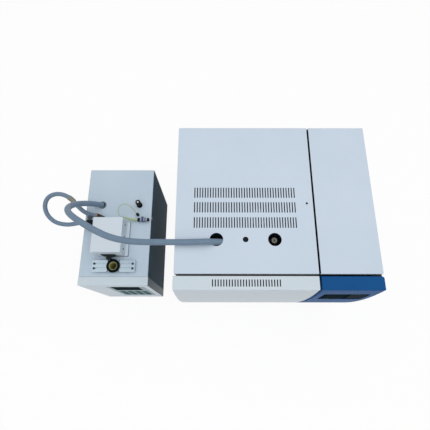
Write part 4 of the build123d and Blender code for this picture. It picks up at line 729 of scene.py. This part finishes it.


# ---- Inlets under the cover
# Stainless inlets in heater blocks, both coloured near black as painted shade of the space under the cover.
# The right one carries a knurled septum nut with a steel needle guide; a cap closes the small middle port.
inlet_x, inlet_y, nut_low, nut_high = 0.152, -0.1205, 0.462, 0.480
nut_steel = lathe_marks("bead blasted stainless steel", "#74766F", "#92948C", 0.55, 0.5)
nut_radius, nut_top = 0.0099, nut_high - nut_low - 0.0001
nut_rows = [(0.0, 0.0086), (0.0009, nut_radius)] + [(0.0009 + 0.0135 * k / 6, nut_radius)
                                                    for k in range(1, 7)]
nut_rows += [(0.0152, nut_radius - 0.0006), (0.0160, 0.0088), (0.0174, 0.0084), (nut_top, 0.0078),
             (nut_top, 0.0045), (0.0146, 0.0018), (0.0140, 0.0011), (0.0, 0.0011)]
verts, faces = turned((inlet_x, inlet_y, nut_low), z_axis, nut_rows, 144, 36, 0.0006, set(range(1, 8)))
septum_nut = add_piece("septum_nut_knurled", verts, faces, nut_steel, "stainless_steel", 40.0)
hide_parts("septum_nut")
block_shade_black = lathe_marks("aluminium block darkened as painted shade", "#15191D", "#22282E", 0.55, 1.0)
dress(block_shade_black, "injector_heater_blocks", "vial_heater")
black_moulding = moulded_plastic("black moulded nylon", "#0A0D11", "#14181D", 0.50, specular=0.15)
dress(black_moulding, "middle_port_plug")


# ---- Rear fittings
# Brass bulkhead unions for the gases, a moulded mains inlet with a rocker switch, and an axial cooling fan
# behind slots punched in the rear panel.
dress(lathe_marks("machined brass", "#A07F3F", "#C4A259", 0.28, 0.5), "gas_fittings")
dress(black_moulding, "power_entry", "cooling_fan_frame", "cooling_fan_rotor")
dress(moulded_plastic("glossy black nylon", "#121417", "#1E2126", 0.22, 2.0, 0.05), "power_rocker")


# ---- Control fascia
# A blue moulding in PC-ABS with the same crown as the door, and a dark printed window let into it.
dress(moulded_plastic("blue moulded PC-ABS", "#0E487D", "#14538D", 0.55, 1.4, 0.10, 0.16), "control_fascia")


def printed_film(name, dark, light, roughness):
    """Back-printed polyester film with an anti-glare face over dark ink, and a faint ripple."""
    ripple = (0.02, 2.0)
    return mottled(name, {"IOR": 1.50, "Specular IOR Level": 0.0}, (dark, light), ripple,
                   (roughness, roughness + 0.08), ripple, (0.04, 0.0004))


dress(printed_film("black printed polyester film", "#0D1924", "#142430", 0.10), "display_window")

# The display glass and the touch keys behind the film stand 0.15 mm proud of it, curved with the crown.
crown_z, crown_reach_y, crown_half_height, crease_drop = 0.285, -0.2795, 0.205, 0.012
crown_curve = (crown_half_height ** 2 + crease_drop ** 2) / (2 * crease_drop)


def fascia_face(z, inset):
    """Y of the fascia's curved face at a height, set in by a skin."""
    return crown_reach_y + crown_curve - sqrt((crown_curve - inset) ** 2 - (z - crown_z) ** 2)


def curved_tile(x0, x1, z0, z1, corner, steps=8, proud=0.00015, base_inset=0.0002):
    """Thin rounded tile that follows the fascia's crown."""
    outline = [point for arc in corner_arcs(x0, x1, z0, z1, corner, 4) for point in arc]
    middle = ((x0 + x1) / 2, (z0 + z1) / 2)
    top_inset, edge_share = base_inset - proud, 0.985
    rings = [(1.0, base_inset), (1.0, base_inset - proud * 0.7)]
    rings += [(edge_share * (1 - k / steps), top_inset) for k in range(steps)]
    verts = []
    for share, inset in rings:
        for x, z in outline:
            px, pz = middle[0] + (x - middle[0]) * share, middle[1] + (z - middle[1]) * share
            verts.append((px, fascia_face(pz, inset), pz))
    n = len(outline)
    faces = ring_faces(len(rings), n, flipped=True)
    faces.append(tuple((len(rings) - 1) * n + i for i in range(n)))
    faces.append(tuple(reversed(range(n))))
    return verts, faces


display_glass = printed_film("dark liquid crystal glass", "#1B2528", "#263236", 0.12)
key_ink = printed_film("grey printed key ink", "#3A4046", "#474E55", 0.22)
lamp_ink = printed_film("green indicator lens", "#7FA23C", "#9DBB4C", 0.20)
tile_finish = ("window_gloss", 60.0)
add_piece("display_glass", *curved_tile(0.312, 0.372, 0.372, 0.424, 0.002), display_glass, *tile_finish)
column_places = [0.0125 * column for column in range(5)]
keys = [curved_tile(0.383 + x, 0.393 + x, 0.412 - z, 0.420 - z, 0.0015)
        for z in (0.0115 * row for row in range(5)) for x in column_places[:4]]
keys += [curved_tile(0.312 + x, 0.322 + x, 0.356, 0.363, 0.0015) for x in column_places]
add_piece("touch_keys", *joined(*keys), key_ink, *tile_finish)
lamps = [curved_tile(0.383 + 0.009 * k, 0.386 + 0.009 * k, 0.427, 0.4285, 0.0007, 2) for k in range(5)]
lamps += [curved_tile(0.312 + 0.012 * k, 0.315 + 0.012 * k, 0.3660, 0.3675, 0.0007, 2) for k in range(2)]
add_piece("indicator_lamps", *joined(*lamps), lamp_ink, *tile_finish)


# ---- Electronics
# A glass-epoxy main board and a laminated transformer behind the right cover.
def solder_mask(name):
    """Green solder mask over copper tracks: glossy, with lighter tracks about 2.5 mm apart."""
    material, tree = new_material(name)
    place = place_of(tree)
    greens = {"Color1": srgb("#0F5A33"), "Color2": srgb("#0C4F2C"), "Mortar": srgb("#2F8F5B")}
    tracks = add_node(tree, "ShaderNodeTexBrick", {"Scale": 1 / 0.02, "Mortar Size": 0.03, **greens},
                      {"Vector": place})
    shader = add_node(tree, "ShaderNodeBsdfPrincipled", {"Roughness": 0.30, "IOR": 1.52},
                      {"Base Color": tracks.outputs["Color"]})
    finish_surface(tree, shader, tracks.outputs["Fac"], 0.2, 0.0001)
    return material


dress(solder_mask("green solder mask"), "main_board")
dress(brushed_steel("varnished transformer laminations", "#3A3A3C", "#5A5A5C", 0.45, "X", 1.0),
      "power_transformer")


# ---- Sampler housing
# A folded steel housing on a dark chassis, with a moulded front frame. Its pale top is a little darker than
# the cabinet's coat as painted shade, and its dark grey-blue sides are paint deepened further as painted
# shade of the narrow gap beside the cabinet.
slate_and_gap_shade = ("#354A54", "#435963")
sampler_shaded_coat = powder_coat("powder coat pale, slate sides", "#B8C7D5", "#C5D3DF", 0.48, 1.6, slate_and_gap_shade, 0.01, "Z")
dress(sampler_shaded_coat, "sampler_cover")
dress(powder_coat("powder coat white", "#CBD7E1", "#D6E0E8", 0.44), "valve_cover")
# The chassis takes the same dark paint, deepened as painted shade.
dress(powder_coat("powder coat slate", *slate_and_gap_shade, 0.50), "sampler_chassis")
dress(powder_coat("painted moulding, slate sides", "#C3D0D9", "#CFDBE2", 0.42, 1.4, slate_and_gap_shade, 0.2),
      "sampler_bezel")


# ---- Sampler keys and screen
# A printed membrane let into the front frame, with raised keys in dark teal, and a dark display glass above
# them.
def membrane(name, face_y):
    """Printed polyester membrane: pale ground, dark teal where the keys stand proud of face_y."""
    material, tree = new_material(name)
    place = place_of(tree)
    cloud = noise(tree, place, 0.03, 3.0)
    depth = add_node(tree, "ShaderNodeSeparateXYZ", None, {"Vector": place})
    is_key = compute(tree, "LESS_THAN", depth.outputs["Y"], face_y)
    ink = shade_mix(tree, is_key, shade_mix(tree, cloud, "#9FB0B5", "#AFBFC3"),
                    shade_mix(tree, cloud, "#3A5658", "#456668"))
    shader = add_node(tree, "ShaderNodeBsdfPrincipled", {"IOR": 1.50, "Specular IOR Level": 0.0},
                      {"Base Color": ink, "Roughness": between(tree, cloud, 0.30, 0.42)})
    finish_surface(tree, shader, cloud, 0.05, 0.0003)
    return material


dress(membrane("printed membrane", -0.2416), "sampler_key_panel")
dress(display_glass, "sampler_screen")


# ---- Vial station
# A satin steel bridge with four slots, a black anodised ring and a chromated well that takes one vial.
def polished_steel(name, dark, light, roughness=0.14):
    """Polished stainless: mirror-like with faint polishing swirls about 3 mm across."""
    swirl = (0.003, 3.0, 1.0)
    return mottled(name, {"Metallic": 1.0}, (dark, light), swirl, (roughness - 0.04, roughness + 0.12), swirl,
                   (0.03, 0.0002))


bridge_steel = polished_steel("polished stainless steel", "#AEB7C2", "#CDD5DD")
dress(polished_steel("satin stainless steel", "#AFC1CE", "#C5D6E0", 0.30), "vial_plate")
ring_black = lathe_marks("black anodised aluminium", "#0C1214", "#182023", 0.36, 0.6)
dress(ring_black, "well_flange")
dress(moulded_plastic("dull yellow chromate on brass", "#A3A26A", "#BCBB84", 0.50, 1.2, 0.1, 0.4),
      "well_liner")


# ---- Valve controls on the deck
# A black clamp with two thumb nuts, a needle valve with a knurled black knob and a bright centre, and steel
# compression fittings with blue nylon rings.
dress(moulded_plastic("green-black phenolic", "#111A18", "#1C2826", 0.45, specular=0.2), "thumb_bracket")
dress(ring_black, "vent_valve")
knob_x, knob_y, knob_low, knob_cap_low = -0.279, 0.0275, 0.3831, 0.4029
knob_rows = [(0.0, 0.0078), (0.0008, 0.0084)] + [(0.0008 + 0.0205 * k / 8, 0.0084) for k in range(1, 9)]
knob_rows += [(0.0221, 0.0080), (0.0228, 0.0070), (0.0229, 0.0052), (0.0229, 0.0040), (0.0, 0.0032)]
verts, faces = turned((knob_x, knob_y, knob_low), z_axis, knob_rows, 120, 30, 0.0007, set(range(1, 10)))
knob = add_piece("vent_knob_grip", verts, faces, black_moulding, "black_plastic", 40.0, "vent_knob")
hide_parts("vent_knob")
knob_cap = turned((knob_x, knob_y, knob_cap_low), z_axis,
                  [(0.0, 0.0034), (0.0030, 0.0035), (0.0036, 0.0032), (0.0040, 0.0022)], 40)
add_piece("vent_knob_cap", *knob_cap, bridge_steel, "polished_steel", 40.0, "vent_knob")


def bevelled_block(low, high, edge):
    """Machined block with broken edges."""
    shape = bmesh.new()
    bmesh.ops.create_cube(shape, size=1.0)
    for vert in shape.verts:
        vert.co = Vector([low[i] + (high[i] - low[i]) * (vert.co[i] + 0.5) for i in range(3)])
    bmesh.ops.bevel(shape, geom=shape.edges[:], offset=edge, segments=2, profile=0.6, affect="EDGES")
    shape.verts.index_update()
    verts, faces = [v.co.copy() for v in shape.verts], [tuple(v.index for v in f.verts) for f in shape.faces]
    shape.free()
    return verts, faces


def hex_nut(start, toward, across_flats, length):
    """Hexagonal nut with rounded-off corners at both ends."""
    corner = across_flats / 2 / cos(radians(30))
    flat = across_flats / 2 * 0.97
    return turned(start, toward, [(0.0, flat), (length * 0.12, corner), (length * 0.88, corner),
                                  (length, flat)], 6)


fitting_steel = polished_steel("machined stainless fittings", "#8F979E", "#B5BDC3", 0.24)
run_y, run_z = -0.0265, 0.3825
fitting_body = joined(
    bevelled_block((-0.2705, -0.0325, deck_top), (-0.2565, -0.0185, 0.3895), 0.0012),
    turned((-0.2805, run_y, run_z), x_axis, [(0.0, 0.0020), (0.0375, 0.0020)], 24),
    hex_nut((-0.2565, run_y, run_z), x_axis, 0.011, 0.008))
fittings = add_piece("deck_fitting_block", *fitting_body, fitting_steel, "polished_steel", 30.0)
black_caps = joined(
    hex_nut((-0.2805, run_y, run_z), x_axis, 0.011, 0.010),
    turned((-0.2485, run_y, run_z), x_axis, [(0.0, 0.0050), (0.0006, 0.0056), (0.0052, 0.0056),
                                             (0.0060, 0.0048)],
           72, 18, 0.0005, {1, 2}),
    turned((-0.282, -0.0075, deck_top), z_axis,
           [(0.0, 0.0045), (0.0015, 0.0045), (0.0015, 0.0030), (0.0060, 0.0030), (0.0062, 0.0048),
            (0.0112, 0.0050), (0.0119, 0.0042)], 72, 18, 0.0004, {4, 5}))
caps = add_piece("deck_fitting_caps", *black_caps, black_moulding, "black_plastic", 35.0)
blue_nylon = moulded_plastic("blue nylon", "#1B2A5E", "#263A78", 0.35)
rings = [turned((x, run_y, run_z), x_axis, [(0.0, 0.0058), (0.0004, 0.0071), (0.0026, 0.0071),
                                            (0.0030, 0.0058)],
                36) for x in (-0.2736, -0.2566)]
rings.append(bevelled_block((-0.2672, -0.0332, 0.3760), (-0.2598, -0.0178, 0.3898), 0.0005))
sleeve_rings = add_piece("fitting_rings", *joined(*rings), blue_nylon, "black_plastic", 40.0)
lead_line = [Vector(p) for p in (wire_route[-1], (-0.319, -0.0223, 0.3902), (-0.3135, -0.0238, 0.3890),
                                 (-0.308, -0.0250, 0.3872), (-0.303, -0.0258, 0.3853),
                                 (-0.298, -0.0263, 0.3837),
                                 (-0.293, run_y, 0.3828), (-0.287, run_y, run_z), (-0.2805, run_y, run_z))]
lead_radii = [0.0014, 0.0024, 0.0030] + [0.0032] * 6
pale_green = moulded_plastic("pale green PVC sleeve", "#93A878", "#B4C48C", 0.40)
lead_sleeve = add_piece("earth_lead_sleeve", *swept(lead_line, lead_radii, 20), pale_green,
                        "earth_insulation", 60.0)
for piece in (fittings, caps, sleeve_rings, lead_sleeve):
    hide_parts("deck_fittings")

# A small steel eyelet on the housing's right edge keeps the leads off the side.
eyelet_radius = 0.0042
eyelet_points = [Vector((-0.2350, -0.0190 + eyelet_radius * cos(turn), deck_top + eyelet_radius * sin(turn)))
                 for turn in (radians(degrees) for degrees in range(0, 361, 20))]
eyelet = swept(eyelet_points, [0.0008] * len(eyelet_points), 12)
add_piece("lead_eyelet", *eyelet, fitting_steel, "polished_steel", 60.0)


# ---- Hose glands
# A black moulded elbow with a nylon nut on its side takes one end of the loop hose, a ribbed rubber boot
# bends its other end into the deck, and a grey rubber grommet closes the deck round the transfer hose.
elbow_y, elbow_z = -0.0435, 0.403
elbow_rows = [(0.0050, 0.0070), (0.0055, 0.0086)]
for k in range(5):
    at = 0.0100 + 0.0042 * k
    elbow_rows += [(at, 0.0086), (at + 0.0006, 0.0078), (at + 0.0014, 0.0078), (at + 0.0020, 0.0086)]
elbow_rows += [(0.0300, 0.0086), (0.0314, 0.0074)]
elbow_start = (-0.4095, elbow_y, elbow_z)
elbow_body = joined(turned((-0.4035, elbow_y, elbow_z), -x_axis, [(0.0, 0.0039), (0.0062, 0.0039)], 24),
                    hex_nut(elbow_start, -x_axis, 0.018, 0.005), turned(elbow_start, -x_axis, elbow_rows, 40))
elbow = add_piece("loop_hose_elbow", *elbow_body, black_moulding, "black_rubber", 35.0)
nylon = moulded_plastic("smoke grey nylon", "#2B343C", "#3B4650", 0.35)
side_nut_rows = [(0.0, 0.0060), (0.0012, 0.0074), (0.0058, 0.0074), (0.0066, 0.0064), (0.0078, 0.0064),
                 (0.0086, 0.0074), (0.0140, 0.0074), (0.0152, 0.0058)]
verts, faces = turned((-0.4318, elbow_y + 0.0070, elbow_z + 0.001), y_axis, side_nut_rows, 72, 12, 0.0006,
                      {1, 2, 5, 6})
side_nut = add_piece("elbow_side_nut", verts, faces, nylon, "black_rubber", 35.0)
boot_start = Vector(loop_route[0])
boot_run = Vector((0.948, -0.226, -0.226)).normalized()
boot_length, boot_steps = 0.0245, 32
boot_points, boot_radii = [], []
for k in range(boot_steps + 1):
    along = k / boot_steps
    boot_points.append(boot_start + boot_run * (boot_length * along))
    rib = 0.0006 if 3 < k < 30 and k % 4 < 2 else 0.0
    boot_radii.append(0.0078 - 0.0034 * along + rib)
boot_end = boot_points[-1]
for turn in (25, 50, 75):
    boot_points.append(boot_end + boot_run * (0.0042 * sin(radians(turn)))
                       + Vector((0, 0, -0.0018 * turn / 90)))
    boot_radii.append(0.0042)
boot_points.append(Vector((boot_points[-1].x + 0.0002, boot_points[-1].y, deck_top + 0.0002)))
boot_radii.append(0.0044)
boot = add_piece("loop_hose_boot", *swept(boot_points, boot_radii, 32), black_rubber, "black_rubber", 45.0)
grommet_grey = moulded_rubber("grey moulded rubber", "#5A6974", "#6B7A86")
grommet_rows = [(-0.0010, 0.0120), (0.0, 0.0130), (0.0008, 0.0130), (0.0020, 0.0112), (0.0021, 0.0094),
                (-0.0010, 0.0094)]
verts, faces = turned((-0.404, 0.028, deck_top), z_axis, grommet_rows, 48)
grommet = add_piece("transfer_hose_grommet", verts, faces, grommet_grey, "black_rubber", 45.0)
for piece in (elbow, side_nut, boot, grommet):
    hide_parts("hose_glands")


# ---- Valve cover shadow line
# A thin grey strip along the valve cover's foot stands in for the shadow line at its base, as painted shadow.
foot_shadow_grey = moulded_rubber("grey strip as painted shadow line", "#59646F", "#6A7681")
foot_shadow_line = joined(bevelled_block((-0.3057, -0.1478, deck_top), (-0.3036, -0.0330, 0.3749), 0.0003),
                   bevelled_block((-0.3480, -0.1484, deck_top), (-0.3057, -0.1466, 0.3745), 0.0003))
add_piece("valve_cover_shadow_line", *foot_shadow_line, foot_shadow_grey, "black_rubber", 30.0)


# ---- Fascia gap shade strip
# A black strip fills the gap between the fascia moulding and the right cover at their outer end, as painted
# shade of the gap.
gap_shade_black = moulded_rubber("black as painted shade of the gap", "#0C0F13", "#15191E")
gap_shade_strip = bevelled_block((0.4300, -0.2284, 0.3600), (0.4562, -0.2217, 0.4790), 0.0006)
add_piece("fascia_foam_strip", *gap_shade_strip, gap_shade_black, "black_rubber", 45.0)
